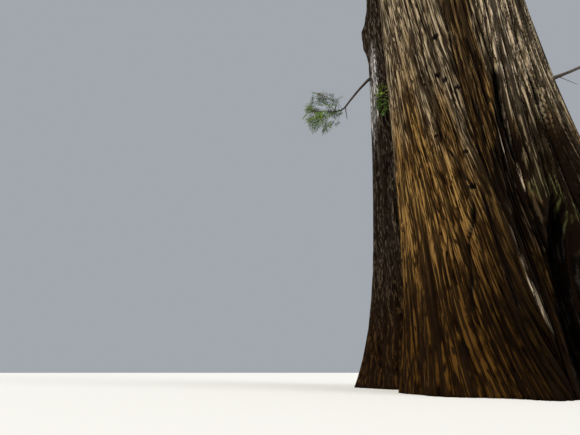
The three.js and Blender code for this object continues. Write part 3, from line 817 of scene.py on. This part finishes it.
# darker colours towards the foot
NEAR_FOOT_COLOURS = [(0.001, 0.0004, 0.0001), (0.0095, 0.0036, 0.0005), (0.042, 0.0165, 0.0022)]
NEAR_FOOT_COLOURS += [(0.135, 0.058, 0.008)]
SOOTY = [(0.4, (0.001, 0.0008, 0.0006)), (0.68, (0.009, 0.006, 0.004)), (0.95, (0.13, 0.095, 0.058))]
MOSSY = [(0.4, (0.001, 0.001, 0.0005)), (0.68, (0.009, 0.01, 0.003)), (0.95, (0.062, 0.07, 0.024))]
CHARRED = [(0.5, (0.001, 0.0008, 0.0006)), (0.8, (0.003, 0.0021, 0.0014)), (1.0, (0.04, 0.027, 0.016))]
# black of char and of painted shade in holes and creases
CHARCOAL_AND_SHADE = [(0.4, (0.0008, 0.0008, 0.0008)), (0.75, (0.003, 0.0027, 0.0024)), (1.0, (0.025, 0.02, 0.016))]


def level_way(turn):
    return np.array([math.cos(turn), math.sin(turn), 0])


def knot_place(axis_at, radius_at, bearing, height, size):
    """The centre of a knot on a stem's face, and its size."""
    turn = math.radians(bearing)
    return tuple(axis_at(height) + radius_at(turn, height) * level_way(turn)), size


trunk_finish = bark_finish(
    "furrowed bark",
    [(0.003, 0.0012, 0.0004), (0.036, 0.015, 0.0034), (0.105, 0.055, 0.016), (0.225, 0.132, 0.042)],
    [(0.004, 0.0025, 0.0015), (0.052, 0.034, 0.0165), (0.152, 0.111, 0.062), (0.33, 0.26, 0.168)],
    3.45,
    1.0,
    1.0,
    BARE_WOOD,
    [knot_place(main_axis, main_radius, *knot) for knot in KNOTS],
)
# the second stem's darker colours are painted shade
painted_shade_finish = bark_finish(
    "bark with painted shade",
    [(0.002, 0.001, 0.0007), (0.007, 0.004, 0.002), (0.028, 0.017, 0.009), (0.2, 0.135, 0.08)],
    [(0.003, 0.002, 0.0015), (0.01, 0.007, 0.0045), (0.04, 0.029, 0.019), (0.23, 0.18, 0.13)],
    1.3,
    0.62,
    0.42,
    BLEACHED,
    [knot_place(second_axis, second_radius, *knot) for knot in SECOND_KNOTS],
)
for mesh in trunk_meshes:
    add_piece(mesh, trunk_finish, ["main_trunk"])
for mesh in second_meshes:
    add_piece(mesh, painted_shade_finish, ["second_stem"])

# %% [markdown]
# ## The plan of the crown
#
# Boughs leave the trunk in tiers that turn as they climb, and each ends in one mass of foliage.
# The numbers come from the solid model: a bough's height and bearing, how far it reaches, and the
# egg-shaped space that its twigs may fill. A little repeatable scatter keeps two boughs from being
# alike. The two low limbs, the tops and the sprout are planned in the same form. The sprout is
# young: more and longer fine twigs for its size, and light green leaves on top with darker ones
# below, which is partly young growth and partly painted light on its top.

# %% Write the plan of one mass
UP = np.array([0.0, 0.0, 1.0])
GAP = 0.0005  # metres, between one solid and the next
CROWN_WIDEST = 17.0
CROWN_REACH = 3.55
FIRST_TIER = 14.6
SECOND_SIDE = 127
CROWN_LOOK = dict(twigs=6, sprays=2, share=0.62, lag=0.2, hang=0.2, arch=0.12)
TOP_LOOK = dict(CROWN_LOOK, share=0.6, lag=0.25, hang=0.1, arch=0, spray=1.0, leader=0.7)
LOW_LOOK = dict(CROWN_LOOK, share=0.6, hang=0.3, arch=0.05, spray=0.3)
SPROUT_LOOK = dict(LOW_LOOK, twigs=5, sprays=1, hang=0.4, arch=0.3, spray=0.13, young_with_lit_top=1, finer=60)


def spread(number, salt):
    """A repeatable number between -1 and 1 for a numbered thing."""
    return 2 * scatter(number, salt, 0) - 1


def unit(vector):
    return vector / np.linalg.norm(vector, axis=-1, keepdims=True)


def squared(side, way):
    """The side turned until it is square to the way."""
    return unit(side - way * (side * way).sum(axis=-1, keepdims=True))


def crown_reach(z):
    share = max(0, z - CROWN_WIDEST) / (TREE_HEIGHT + 0.5 - CROWN_WIDEST)
    return CROWN_REACH * (1 - share**1.5) ** 0.7


def plan_mass(name, look, start, heading, end, centre, size, bearing, seed, thick):
    """A mass of foliage: its own stem from start to end, and the space that its twigs may fill."""
    plan = dict(look, name=name, start=start, heading=heading, bearing=bearing, seed=seed, thick=thick)
    return plan | dict(end=np.array(end), centre=np.array(centre), size=np.array(size))


def plan_on_bough(name, look, bough, thick, end, centre, size, seed):
    """A mass that starts at the tip of a bough with three handles."""
    along = bough[2] - bough[0]
    bearing = math.atan2(along[1], along[0])
    heading = unit(bough[2] - bough[1])
    plan = plan_mass(name, look, bough[2], heading, end, centre, size, bearing, seed, 0.52 * thick)
    return plan | dict(bough=bough, bough_thick=thick)


def plan_bough(name, stem, axis_at, height, bearing, reach, number):
    """A bough of the crown with its mass, from its height, its bearing in degrees and its reach."""
    out = level_way(math.radians(bearing))
    core, radius = axis_at(height), round_radius(stem, height)
    rise = 0.16 * (height - FIRST_TIER) / (TREE_HEIGHT - FIRST_TIER) - 0.02
    root = core + out * radius * 0.55
    tip = core + out * (radius + 0.24 * reach) + UP * reach * rise
    bough = [root, (root + tip) / 2 + UP * 0.035 * reach, tip]
    end = core + out * 0.86 * reach - UP * (0.42 + 0.26 * spread(number, 4))
    centre = core + out * 0.6 * reach - UP * (0.26 + 0.16 * spread(number, 3))
    size = (0.5 * reach, 0.66 * reach, 2.45)
    share = reach / CROWN_REACH
    look = dict(CROWN_LOOK, spray=1.5 * (0.6 + 0.4 * share))
    return plan_on_bough(name, look, bough, 0.034 + 0.062 * share, end, centre, size, number)


def plan_low_limb(name, root, tip, sag, *rest):
    root, tip = np.array(root), np.array(tip)
    return plan_on_bough(name, LOW_LOOK, [root, (root + tip) / 2 - UP * sag, tip], *rest)


def plan_top(name, stem, axis_at, top, size, seed):
    start = axis_at(stem["height"])
    foot = start * (1, 1, 0)
    end = foot + UP * (top - 0.96 * TOP_LOOK["leader"])
    centre = foot + UP * (top - size[2] + GAP)
    return plan_mass(name, TOP_LOOK, start, UP, end, centre, size, 0, seed, 0.8 * stem["tip"])


# %% Plan the crown
MAIN_STEM, SECOND_STEM = (MAIN, main_axis), (SECOND, second_axis)
MAIN_TIERS, SECOND_TIERS = 5, 3
masses = []
for tier in range(MAIN_TIERS):
    for side in (-1, 0, 1):
        number = len(masses) + 1
        height = FIRST_TIER + 4 * tier + 0.56 * side + 0.38 * spread(number, 1)
        turned = (-1 if tier % 2 else 1) * 18 + 10 * spread(number, 2)
        bearing = SECOND_SIDE + 180 + side * (80 + 20 * max(0, tier - 2.6)) + turned
        reach = crown_reach(height) * (1 + 0.08 * spread(number, 5))
        masses.append(plan_bough(f"main_{number}", *MAIN_STEM, height, bearing, reach, number))
for height, bearing in ((34.05, 15), (34.55, 190)):
    number = len(masses) + 1
    reach = 1.08 * crown_reach(height)
    masses.append(plan_bough(f"main_{number}", *MAIN_STEM, height, bearing, reach, number))
main_boughs = len(masses)
for tier in range(SECOND_TIERS):
    for side in (-1, 1):
        number = len(masses) + 1
        height = 15.2 + 4.4 * tier + 0.5 * side
        bearing = SECOND_SIDE + side * 52 + 9 * spread(number, 2)
        name = f"second_{number - main_boughs}"
        masses.append(plan_bough(name, *SECOND_STEM, height, bearing, 2.35 * (1 - 0.1 * tier), number))

# %% [markdown]
# ### Low limbs, tops and sprout
#
# These few masses follow no tiers, so each is planned one by one. A low limb is given by its root,
# its tip, its sag and its thickness, and then by the space at its tip. The sprout hangs on the face
# of the second stem.

# %% Plan the low limbs, the tops and the sprout
LOW_LEFT = ((-1.662, 0.996, 5.27), (-2.236, 0.47, 4.3), -0.12, 0.025)
LOW_LEFT_SPACE = ((-2.7, 0.03, 4.08), (-2.52, 0.2, 4.13), (0.39, 0.39, 0.37))
LOW_RIGHT = ((0.33, -0.17, 3.54), (1.29, 0.15, 3.95), 0.04, 0.022)
LOW_RIGHT_SPACE = ((2.03, 0.47, 4.06), (1.7, 0.33, 4.05), (0.52, 0.48, 0.4))
SPROUT_BEARING, SPROUT_HEIGHT = math.radians(-118), 4.48
sprout_side = level_way(SPROUT_BEARING)
sprout_face = second_radius(SPROUT_BEARING, SPROUT_HEIGHT)
sprout_root = second_axis(SPROUT_HEIGHT) + sprout_side * (sprout_face - 0.09)
sprout_middle = second_axis(4.25) + sprout_side * (sprout_face + 0.075)
sprout_end = sprout_middle * (1, 1, 0) + UP * 4.06
sprout_stem = (sprout_root, sprout_side, sprout_end)
masses += [
    plan_low_limb("low_left", *LOW_LEFT, *LOW_LEFT_SPACE, 83),
    plan_low_limb("low_right", *LOW_RIGHT, *LOW_RIGHT_SPACE, 84),
    plan_top("main_top", *MAIN_STEM, TREE_HEIGHT, (1.4, 1.4, 2.3), 51),
    plan_top("second_top", *SECOND_STEM, 31.7, (1.35, 1.35, 1.9), 52),
    plan_mass("sprout", SPROUT_LOOK, *sprout_stem, sprout_middle, (0.15, 0.15, 0.33), 0, 53, 0.008),
]
print(len(masses), "masses of foliage planned")

# %% [markdown]
# ## Bark on the boughs
#
# Each bough is a tube along a curve with one handle. It starts inside the trunk, swells into a
# collar where it comes out, and is ringed with flaky bark, which is low relief on so thin a limb.
# The solid boughs give the path and the thickness.


# %% Wrap the boughs
def bezier(handles, t):
    """The point at t of a curve with any number of handles."""
    while len(handles) > 1:
        handles = [a + (b - a) * t for a, b in zip(handles, handles[1:])]
    return handles[0]


def curve_point(handles, along):
    """The point at a share of a curve's length."""
    t = np.linspace(0, 1, 201)
    steps = np.linalg.norm(np.diff(bezier(handles, t[:, None]), axis=0), axis=1)
    run = np.concatenate([[0], np.cumsum(steps)]) / steps.sum()
    return bezier(handles, np.interp(along, run, t)[..., None])


def across(way):
    """Two directions square to a way and to each other."""
    level = np.where(np.abs(way[..., 2:]) > 0.95, np.array([1.0, 0, 0]), UP)
    first = unit(np.cross(level, way))
    return first, np.cross(way, first)


def bough_place(mass):
    """Puts a tube's points round one bough."""
    handles, thick = mass["bough"], mass["bough_thick"]
    first, second = across(unit(handles[2] - handles[0]))

    def place(turn, share):
        radius = thick * (1 - 0.42 * share) + 0.5 * thick * np.exp(-((share / 0.3) ** 2))
        flakes = 0.1 * wander(turn, share * 14, 7, mass["seed"])
        flakes = flakes + 0.06 * wander(turn, share * 40, 13, mass["seed"] + 3)
        radius = (radius * (1 + flakes))[:, None]
        out = first * np.cos(turn)[:, None] + second * np.sin(turn)[:, None]
        return curve_point(handles, share) + out * radius, {"relief": 0.5 + 4 * flakes}

    return place


BOUGH_SIDES, BOUGH_RINGS = 16, 28
bough_meshes = {
    mass["name"]: wrap_tube("bark_" + mass["name"], BOUGH_SIDES, BOUGH_RINGS, bough_place(mass))
    for mass in masses
    if "bough" in mass
}
print(len(bough_meshes), "boughs wrapped")

# %% [markdown]
# ## Twigs by the solid model's rule
#
# A mass is one stem with twigs that fan out to all parts of its space, and sprays on the twigs. The
# rule below makes the same draws as the solid model, in the same order, so it plans the same twigs
# and sprays. A plan that found no room was tried shorter or turned. Which try was kept shows in the
# solid itself: it has corners there.


# %% Aim the twigs
GOLDEN_TURN = 2.39996  # radians, from one twig to the next


def seeded(seed):
    """Repeatable numbers between 0 and 1."""
    while True:
        seed = (seed * 1664525 + 1013904223) % 2**32
        yield seed / 2**32


def turn_about(vector, axis, angle):
    turned = vector * math.cos(angle) + np.cross(axis, vector) * math.sin(angle)
    return turned + axis * np.dot(axis, vector) * (1 - math.cos(angle))


def twig_tip(mass, number, count, share, turn):
    """Twig tips fan out evenly from the middle of the space to all sides."""
    level = 0.86 - 1.72 * (number + 0.5) / count
    turn = number * GOLDEN_TURN + turn
    flat = math.sqrt(1 - level * level)
    tip = np.array([flat * math.cos(turn), flat * math.sin(turn), level]) * mass["size"] * share
    return mass["centre"] + turn_about(tip, UP, mass["bearing"])


def mass_stem(mass):
    """The handles of a mass's own stem."""
    start = mass["start"] + mass["heading"] * GAP
    span = np.linalg.norm(mass["end"] - start)
    third = mass["end"] + (start - mass["end"]) * 0.35 + UP * span * mass["arch"]
    return [start, start + mass["heading"] * span * 0.3, third, mass["end"]]


def where_from(mass, stem, aim):
    """Where on the stem a twig leaves for its aim: a little behind the point beside it."""
    span = mass["end"] - stem[0]
    share = np.dot(aim - stem[0], span) / np.dot(span, span)
    return curve_point(stem, np.clip(share - mass["lag"], 0.1, 0.92))


# %% Find the solid model's own twigs and sprays
NEAR_CORNER = 0.003  # metres
SPRAY_CORNERS = [(1, 0), (0.76, 0.43), (0.76, -0.43)]  # ahead and aside, in lengths of the spray


def find_spray(mass, corners, root, heading, tilt, length):
    """The spray's root, way, side and length as the solid has it, or None."""
    for share in (1, 0.8, 0.62):
        for swing in (0, 0.6, -0.6, 1.2, -1.2):
            way = unit(turn_about(heading, UP, swing) + UP * 0.35 * swing * np.sign(tilt))
            side = np.cross(UP, way)
            if np.linalg.norm(side) < 0.2:
                side = level_way(mass["bearing"])
            side = squared(turn_about(unit(side), way, tilt), way)
            ends = np.array([root + share * length * (x * way + y * side) for x, y in SPRAY_CORNERS])
            gaps = np.linalg.norm(corners[None] - ends[:, None], axis=2).min(axis=1)
            if gaps.max() < NEAR_CORNER:
                return root, way, side, share * length
    return None


def find_twigs(mass):
    """The twigs and sprays that the solid mass has."""
    draw = seeded(mass["seed"] * 7919 + 17)
    corners = read_points(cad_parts["foliage_" + mass["name"]].data)
    stem = mass_stem(mass)
    twigs, sprays = [], []
    for number in range(mass["twigs"]):
        reach = mass["share"] * (0.9 + 0.2 * next(draw))
        aim = twig_tip(mass, number, mass["twigs"], reach, mass["seed"])
        slant = [next(draw) - 0.5 for _ in range(4)]
        root = where_from(mass, stem, aim)
        for share in (1, 0.8, 0.62, 0.45):
            tip = root + (aim - root) * share
            if np.linalg.norm(corners - tip, axis=1).min() > 0.2 * mass["thick"] + 0.002:
                continue
            twigs.append((root, tip))
            way, out = unit(tip - root), unit(tip - mass["centre"])
            level = unit(np.cross(way, UP))
            for k in range(mass["sprays"]):
                heading = way + 0.5 * out + level * (-1 if k % 2 else 1) * (0.55 + 0.5 * slant[k])
                heading = unit(heading + UP * (slant[2] - mass["hang"]))
                tilt = 1.5 * slant[(k + 1) % 4] + (0.5 if k % 2 else -0.5)
                length = mass["spray"] * (1 + 0.35 * slant[(k + 3) % 4])
                sprays.append((root + (tip - root) * (0.97 - 0.3 * k), heading, tilt, length))
            break
    leader, last = mass.get("leader", mass["spray"]), unit(stem[3] - stem[2])
    sprays.append((stem[3] - last * 0.04 * leader, last, 0.3, leader))
    found = [find_spray(mass, corners, *spray) for spray in sprays]
    return stem, twigs, [spray for spray in found if spray]


grown = {mass["name"]: find_twigs(mass) for mass in masses}
print(sum(len(twigs) for _, twigs, _ in grown.values()), "twigs found,", end=" ")
print(sum(len(sprays) for _, _, sprays in grown.values()), "sprays found")

# %% [markdown]
# ## Finer twigs
#
# The solids stop at six twigs a mass. The same rule goes on from there: more and thinner twigs fan
# out from the stem inside the same space, with small fronds along them, and the first twigs carry
# small fronds too. A point belongs to the mass whose space it lies deepest in, so neighbours stay
# apart, and nothing may grow into a stem.


# %% Grow the finer twigs
FINER_TWIGS = 20
FINER_FRONDS = 4
CENTRES = np.array([mass["centre"] for mass in masses])
SIZES = np.array([mass["size"] for mass in masses])
TURNS = np.array([mass["bearing"] for mass in masses])


def depths(points):
    """How deep points lie in every space: 0 in its middle and 1 at its edge."""
    off = points[:, None] - CENTRES
    outward = off[..., 0] * np.cos(TURNS) + off[..., 1] * np.sin(TURNS)
    sideways = off[..., 1] * np.cos(TURNS) - off[..., 0] * np.sin(TURNS)
    return np.linalg.norm(np.stack([outward, sideways, off[..., 2]], -1) / SIZES, axis=-1)


def has_room(index, points):
    """Whether all the points lie in a mass's own space and clear of both stems."""
    deep = depths(points)
    own = (deep[:, index] < 1) & (deep[:, index] <= deep.min(axis=1) + 0.02)
    own &= ((points > np.array(CAD_BOX[0])) & (points < np.array(CAD_BOX[1]))).all(axis=1)
    z = points[:, 2]
    for stem, axis_at in (MAIN_STEM, SECOND_STEM):
        off = np.linalg.norm((points - axis_at(z))[:, :2], axis=1)
        own &= (off > round_radius(stem, z) + 0.1 * masses[index]["spray"]) | (z > stem["height"] + 0.1)
    return own.all()


def small_fronds(index, root, tip, draw, count):
    """Fronds on alternate sides of a twig, as root, way, side and length."""
    mass, way = masses[index], unit(tip - root)
    side = unit(np.cross(way, UP))
    fronds = []
    for k in range(count):
        at = root + (tip - root) * (1 - 0.62 * (k + 0.4 * next(draw)) / count)
        lean = (0.25 + 0.9 * next(draw)) * (1 if k % 2 else -1) * (k > 0)
        heading = unit(way + side * lean - UP * (mass["hang"] + 0.5 * next(draw)))
        flat = turn_about(unit(np.cross(UP, heading)), heading, 0.9 * (next(draw) - 0.5))
        length = mass["spray"] * (0.42 + 0.2 * next(draw))
        if has_room(index, at + np.array([[1.0], [0.7]]) * length * heading):
            fronds.append((at, heading, squared(flat, heading), length))
    return fronds


finer = {}
for index, mass in enumerate(masses):
    stem, twigs, _ = grown[mass["name"]]
    draw = seeded(index * 131 + 7)
    reached, fronds = [], []
    for root, tip in twigs:
        fronds += small_fronds(index, root, tip, draw, FINER_FRONDS)[1:]
    count = mass.get("finer", FINER_TWIGS)
    for number in range(count):
        reach = mass["share"] * (0.7 + 0.8 * next(draw)) * (1 + 0.3 * mass.get("young_with_lit_top", 0))
        aim = twig_tip(mass, number, count, reach, mass["seed"] + 1.3)
        root = where_from(mass, stem, aim)
        for share in (1, 0.75, 0.5):
            tip = root + (aim - root) * share
            if has_room(index, root + (tip - root) * np.array([[0.6], [1]])):
                reached.append((root, tip))
                fronds += small_fronds(index, root, tip, draw, FINER_FRONDS)
                break
    finer[mass["name"]] = (reached, fronds)
print(sum(len(reached) for reached, _ in finer.values()), "finer twigs,", end=" ")
print(sum(len(fronds) for _, fronds in finer.values()), "small fronds")

# %% [markdown]
# ## Fronds
#
# A redwood's side shoots lie flat like the vanes of a feather. A few patterns are drawn on a unit
# square, each an axis with branchlets on both sides and sprigs of needles along all of them. Every
# frond then puts one of them in its own place, arched so that its tip hangs. Doing this with arrays
# lays out thousands of sprigs at once. Two side twigs of the low limbs have lost their leaves.


# %% Draw the pattern of a frond
def frond_pattern(branchlets, on_axis, on_each, seed):
    """Lines as three points each, and sprigs as x, y, turn, length and roll, for a frond 1 long."""
    draw = seeded(seed)
    lines, sprigs = [], []
    ways = [(0, (0.0, 0.0), (1.0, 0.0), on_axis)]
    for base, x, y in branchlets:
        for side in (-1, 1):
            grow = 0.9 + 0.16 * next(draw)
            ways.append((side, (base + 0.04 * next(draw), 0.0), (x * grow, side * y * grow), on_each))
    for side, start, end, count in ways:
        start, end = np.array(start), np.array(end)
        middle = (start + end) / 2 + np.array([-0.02, 0.03 * side])
        lines.append([start, middle, end])
        way = math.atan2(*(end - start)[::-1])
        for k in range(count):
            size = 0.19 + 0.06 * next(draw)
            at = 1 - size / np.linalg.norm(end - start) - 0.72 * k / count
            turn = way + (0 if k == 0 else (0.75 + 0.3 * next(draw)) * (-1 if k % 2 else 1))
            x, y = start + (end - start) * max(at, 0.1)
            sprigs.append([x, y, turn, size, 0.7 * (next(draw) - 0.5)])
    return np.array(lines), np.array(sprigs)


def place_pattern(points, frond):
    """Puts points of the pattern on a frond, arched upwards between its root and its tip."""
    root, way, side, length = frond
    x, y = points[..., :1], points[..., 1:]
    return root + length * (x * way + y * side + 0.28 * x * (1 - x) * UP - 0.25 * y**2 * UP)


# %% Lay all twigs and fronds
LARGE_BRANCHLETS = [(0.12, 0.4, 0.26), (0.2, 0.58, 0.36), (0.32, 0.74, 0.4), (0.52, 0.86, 0.31)]
LARGE_BRANCHLETS += [(0.74, 0.95, 0.17)]
SMALL_BRANCHLETS = [(0.15, 0.55, 0.3), (0.42, 0.82, 0.26)]
LARGE_PATTERNS = [frond_pattern(LARGE_BRANCHLETS, 6, 3, seed) for seed in (3, 14, 15, 92)]
SMALL_PATTERNS = [frond_pattern(SMALL_BRANCHLETS, 4, 2, seed) for seed in (65, 35, 89, 79)]
SMALL_SPRIG_GROWTH = 1.65
GREENS_UP_TO = [0.36, 0.7, 0.92]  # shares of all fronds, for the first three of four greens
ALONG = np.linspace(0, 1, 7)
BARE_TWIGS = [((-2.23, 0.475, 4.31), (-2.2, 0.45, 4.07), 0.009)]
BARE_TWIGS += [((0.66, -0.06, 3.67), (0.86, 0.02, 3.54), 0.006)]
twig_paths, frond_paths = [], []
sprig_sets = [[] for _ in range(4)]
shade_draw = seeded(2718)


def lay_twig(root, tip, sag, thick, thinned):
    """Adds the path of a twig from its root to its tip, a little arched."""
    middle = (root + tip) / 2 + UP * sag * np.linalg.norm(tip - root)
    twig_paths.append((bezier([root, middle, tip], ALONG[:, None]), thick, thinned * thick))


def lay_frond(mass, frond, patterns, growth):
    """Adds a frond's lines, and its sprigs in a green of its own."""
    lines, sprigs = patterns[int(4 * next(shade_draw))]
    root, way, side, length = frond
    frond_paths.extend((line, 0.006 * length, 0.002 * length) for line in place_pattern(lines, frond))
    turn, roll = sprigs[:, 2:3], sprigs[:, 4:5]
    ahead = unit(np.cos(turn) * way + np.sin(turn) * side - 0.22 * UP)
    flat = np.cos(turn) * side - np.sin(turn) * way
    flat = squared(flat * np.cos(roll) + np.cross(way, side) * np.sin(roll), ahead)
    size = length * sprigs[:, 3:4] * growth * np.ones(3)
    green = int(np.searchsorted(GREENS_UP_TO, next(shade_draw)))
    # on the sprout the top fronds get the light green, partly young leaves and partly painted light, and the
    # lower ones darker greens
    if "young_with_lit_top" in mass:
        green = 2 if root[2] > mass["centre"][2] + 0.06 else min(green, 1)
    sprig_sets[green].append(np.stack([place_pattern(sprigs[:, :2], frond), ahead, flat, size], 1))


for mass in masses:
    stem, twigs, sprays = grown[mass["name"]]
    reached, fronds = finer[mass["name"]]
    twig_paths.append((curve_point(stem, ALONG), mass["thick"], 0.3 * mass["thick"]))
    for root, tip in twigs:
        lay_twig(root, tip, 0.04, 0.45 * mass["thick"], 0.45)
    for root, tip in reached:
        lay_twig(root, tip, 0.04, 0.28 * mass["thick"], 0.45)
    for frond in sprays:
        lay_frond(mass, frond, LARGE_PATTERNS, 1)
    for frond in fronds:
        lay_frond(mass, frond, SMALL_PATTERNS, SMALL_SPRIG_GROWTH)
for root, tip, thick in BARE_TWIGS:
    lay_twig(np.array(root), np.array(tip), 0, thick, 0.5)
sprig_sets = [np.concatenate(sprigs) for sprigs in sprig_sets]
print([len(sprigs) for sprigs in sprig_sets], "sprigs of each green")

# %% [markdown]
# ## Needles and twigs as joined meshes
#
# A sprig is one flat shape of a few narrow kites, two ranks of needles and a stem, shortest at both
# ends. Multiplying that shape by every sprig's own directions gives all corners in one go. Meshes
# are filled straight from such arrays, in pieces small enough to handle. Twigs are thin tubes of
# three or four sides, closed at both ends, made the same way.


# %% Shape a sprig, and fill meshes from arrays
def mesh_from_arrays(name, points, *face_sets):
    """A mesh from (n, 3) points and sets of (m, corners) faces."""
    corners = np.concatenate([faces.ravel() for faces in face_sets])
    counts = np.concatenate([np.full(len(faces), faces.shape[1]) for faces in face_sets])
    mesh = bpy.data.meshes.new(name)
    mesh.vertices.add(len(points))
    mesh.vertices.foreach_set("co", points.ravel())
    mesh.loops.add(len(corners))
    mesh.loops.foreach_set("vertex_index", corners)
    mesh.polygons.add(len(counts))
    mesh.polygons.foreach_set("loop_start", np.cumsum(counts) - counts)
    mesh.update(calc_edges=True)
    return mesh


def kite(root, tip, half_width, lift):
    """Four corners of one needle that is widest before its middle."""
    root, tip = np.array(root), np.array(tip)
    middle = root + 0.4 * (tip - root)
    aside = half_width * unit(np.array([root[1] - tip[1], tip[0] - root[0]]))
    half = 0.5 * lift
    return [[*root, 0], [*(middle - aside), half], [*tip, lift], [*(middle + aside), half]]


def sprig_shape(pairs):
    """Corners of a sprig 1 long with a stem, pairs of needles and one needle at the tip."""
    needles = [kite((0, 0), (0.97, 0), 0.012, 0), kite((0.8, 0), (1.08, 0), 0.036, 0)]
    for i in range(pairs):
        share = i / (pairs - 1)
        at = 0.05 + 0.86 * share
        reach = 0.34 * math.sin(math.pi * (0.2 + 0.66 * share))
        for side in (-1, 1):
            tip = (at + 0.7 * reach, side * 0.78 * reach)
            needles.append(kite((at, 0), tip, 0.05, 0.05 * (1 - 2 * (i % 2))))
    return np.array(needles)


SPRIG = sprig_shape(5)
SPRIG_TRIANGLES = 2 * len(SPRIG)
PIECE_LIMIT = 190_000  # triangles


# %% Build the needles, twigs and shoots
def needle_mesh(name, sprigs):
    """All needles of some sprigs: each is its root, way, side and size."""
    root, way, side, size = (sprigs[:, None, None, i] for i in range(4))
    shape = SPRIG[..., :1] * way + SPRIG[..., 1:2] * side + SPRIG[..., 2:] * np.cross(way, side)
    points = (root + size * shape).reshape(-1, 3)
    return mesh_from_arrays(name, points, np.arange(len(points)).reshape(-1, 4))


def tube_mesh(name, paths, sides):
    """Closed thin tubes along paths of equal count: each is its points, first and last radius."""
    lines = np.array([path for path, _, _ in paths])
    count = lines.shape[1]
    first, second = across(unit(lines[:, -1] - lines[:, 0]))
    radii = np.array([[a + (b - a) * s for s in np.linspace(0, 1, count)] for _, a, b in paths])
    turns = np.arange(sides) * 2 * np.pi / sides
    ring = first[:, None] * np.cos(turns)[:, None] + second[:, None] * np.sin(turns)[:, None]
    points = lines[:, :, None] + radii[:, :, None, None] * ring[:, None]
    corner = np.arange(lines.shape[0] * count * sides).reshape(-1, count, sides)
    after = np.roll(corner, -1, axis=2)
    walls = np.stack([corner[:, :-1], after[:, :-1], after[:, 1:], corner[:, 1:]], -1).reshape(-1, 4)
    mesh = mesh_from_arrays(name, points.reshape(-1, 3), walls, corner[:, 0, ::-1], corner[:, -1])
    mesh.polygons.foreach_set("use_smooth", np.arange(len(mesh.polygons)) < len(walls))
    return mesh


needle_meshes = []
for green, sprigs in enumerate(sprig_sets):
    parts = math.ceil(len(sprigs) * SPRIG_TRIANGLES / PIECE_LIMIT)
    for part, share in enumerate(np.array_split(sprigs, parts)):
        needle_meshes.append((green, needle_mesh(f"needles_{green + 1}_{part + 1}", share)))
twig_meshes = [tube_mesh("twigs", twig_paths, 4), tube_mesh("shoots_1", frond_paths, 3)]
print(len(needle_meshes), "meshes of needles,", len(twig_paths), "twigs and", len(frond_paths), "shoots")

# %% [markdown]
# ## Finishes of limbs and leaves
#
# Bark on thin limbs is brown and flaky with grey where it is weathered. Needles come in four plain
# greens, from the deep green of old leaves to the yellow green of young shoots, and a few are dying
# back to olive. Each green shifts a little from place to place, as the leaves of one bough differ.


# %% Make the finishes of limbs and leaves
BROWN_FLAKES = [(0.3, (0.01, 0.006, 0.003)), (0.55, (0.045, 0.025, 0.013)), (0.8, (0.11, 0.065, 0.036))]
GREY_FLAKES = [(0.3, (0.015, 0.012, 0.009)), (0.6, (0.07, 0.058, 0.045)), (0.8, (0.15, 0.13, 0.1))]


def limb_finish():
    material, shader, place = new_finish("limb bark", 0.85)
    patches, flakes = noise(place, 3.0, 4.0), noise(place, 45.0, 4.0)
    brown, grey = flakes.ramp(BROWN_FLAKES), flakes.ramp(GREY_FLAKES)
    link(patches.step(0.42, 0.6).mix(brown, grey), shader, "Base Color")
    bump = place.node("ShaderNodeBump", {}, {"Strength": 0.6, "Distance": 0.008, "Height": flakes})
    link(bump, shader, "Normal")
    return material


def needle_finish(number, deep, light):
    material, shader, place = new_finish(f"needles {number}", 0.5)
    boughs, leaves = noise(place, 0.9, 3.0), noise(place, 14.0, 2.0)
    link((boughs * 0.6 + leaves * 0.4).step(0.3, 0.7).mix((*deep, 1), (*light, 1)), shader, "Base Color")
    link(0.5 + 0.2 * leaves, shader, "Roughness")
    shader.inputs["Specular IOR Level"].default_value = 0.25
    return material


# %% Finish and place the boughs, twigs and needles
NEEDLE_GREENS = [
    ((0.035, 0.085, 0.009), (0.075, 0.155, 0.016)),
    ((0.075, 0.145, 0.013), (0.14, 0.24, 0.023)),
    ((0.16, 0.26, 0.02), (0.28, 0.4, 0.035)),
    ((0.13, 0.1, 0.02), (0.22, 0.18, 0.035)),
]
limb_bark = limb_finish()
needle_finishes = [needle_finish(i + 1, *greens) for i, greens in enumerate(NEEDLE_GREENS)]
foliage_nodes = ["foliage_" + mass["name"] for mass in masses]
for name, mesh in bough_meshes.items():
    add_piece(mesh, limb_bark, ["bough_" + name])
for mesh in twig_meshes:
    add_piece(mesh, limb_bark, foliage_nodes)
for green, mesh in needle_meshes:
    add_piece(mesh, needle_finishes[green], foliage_nodes)
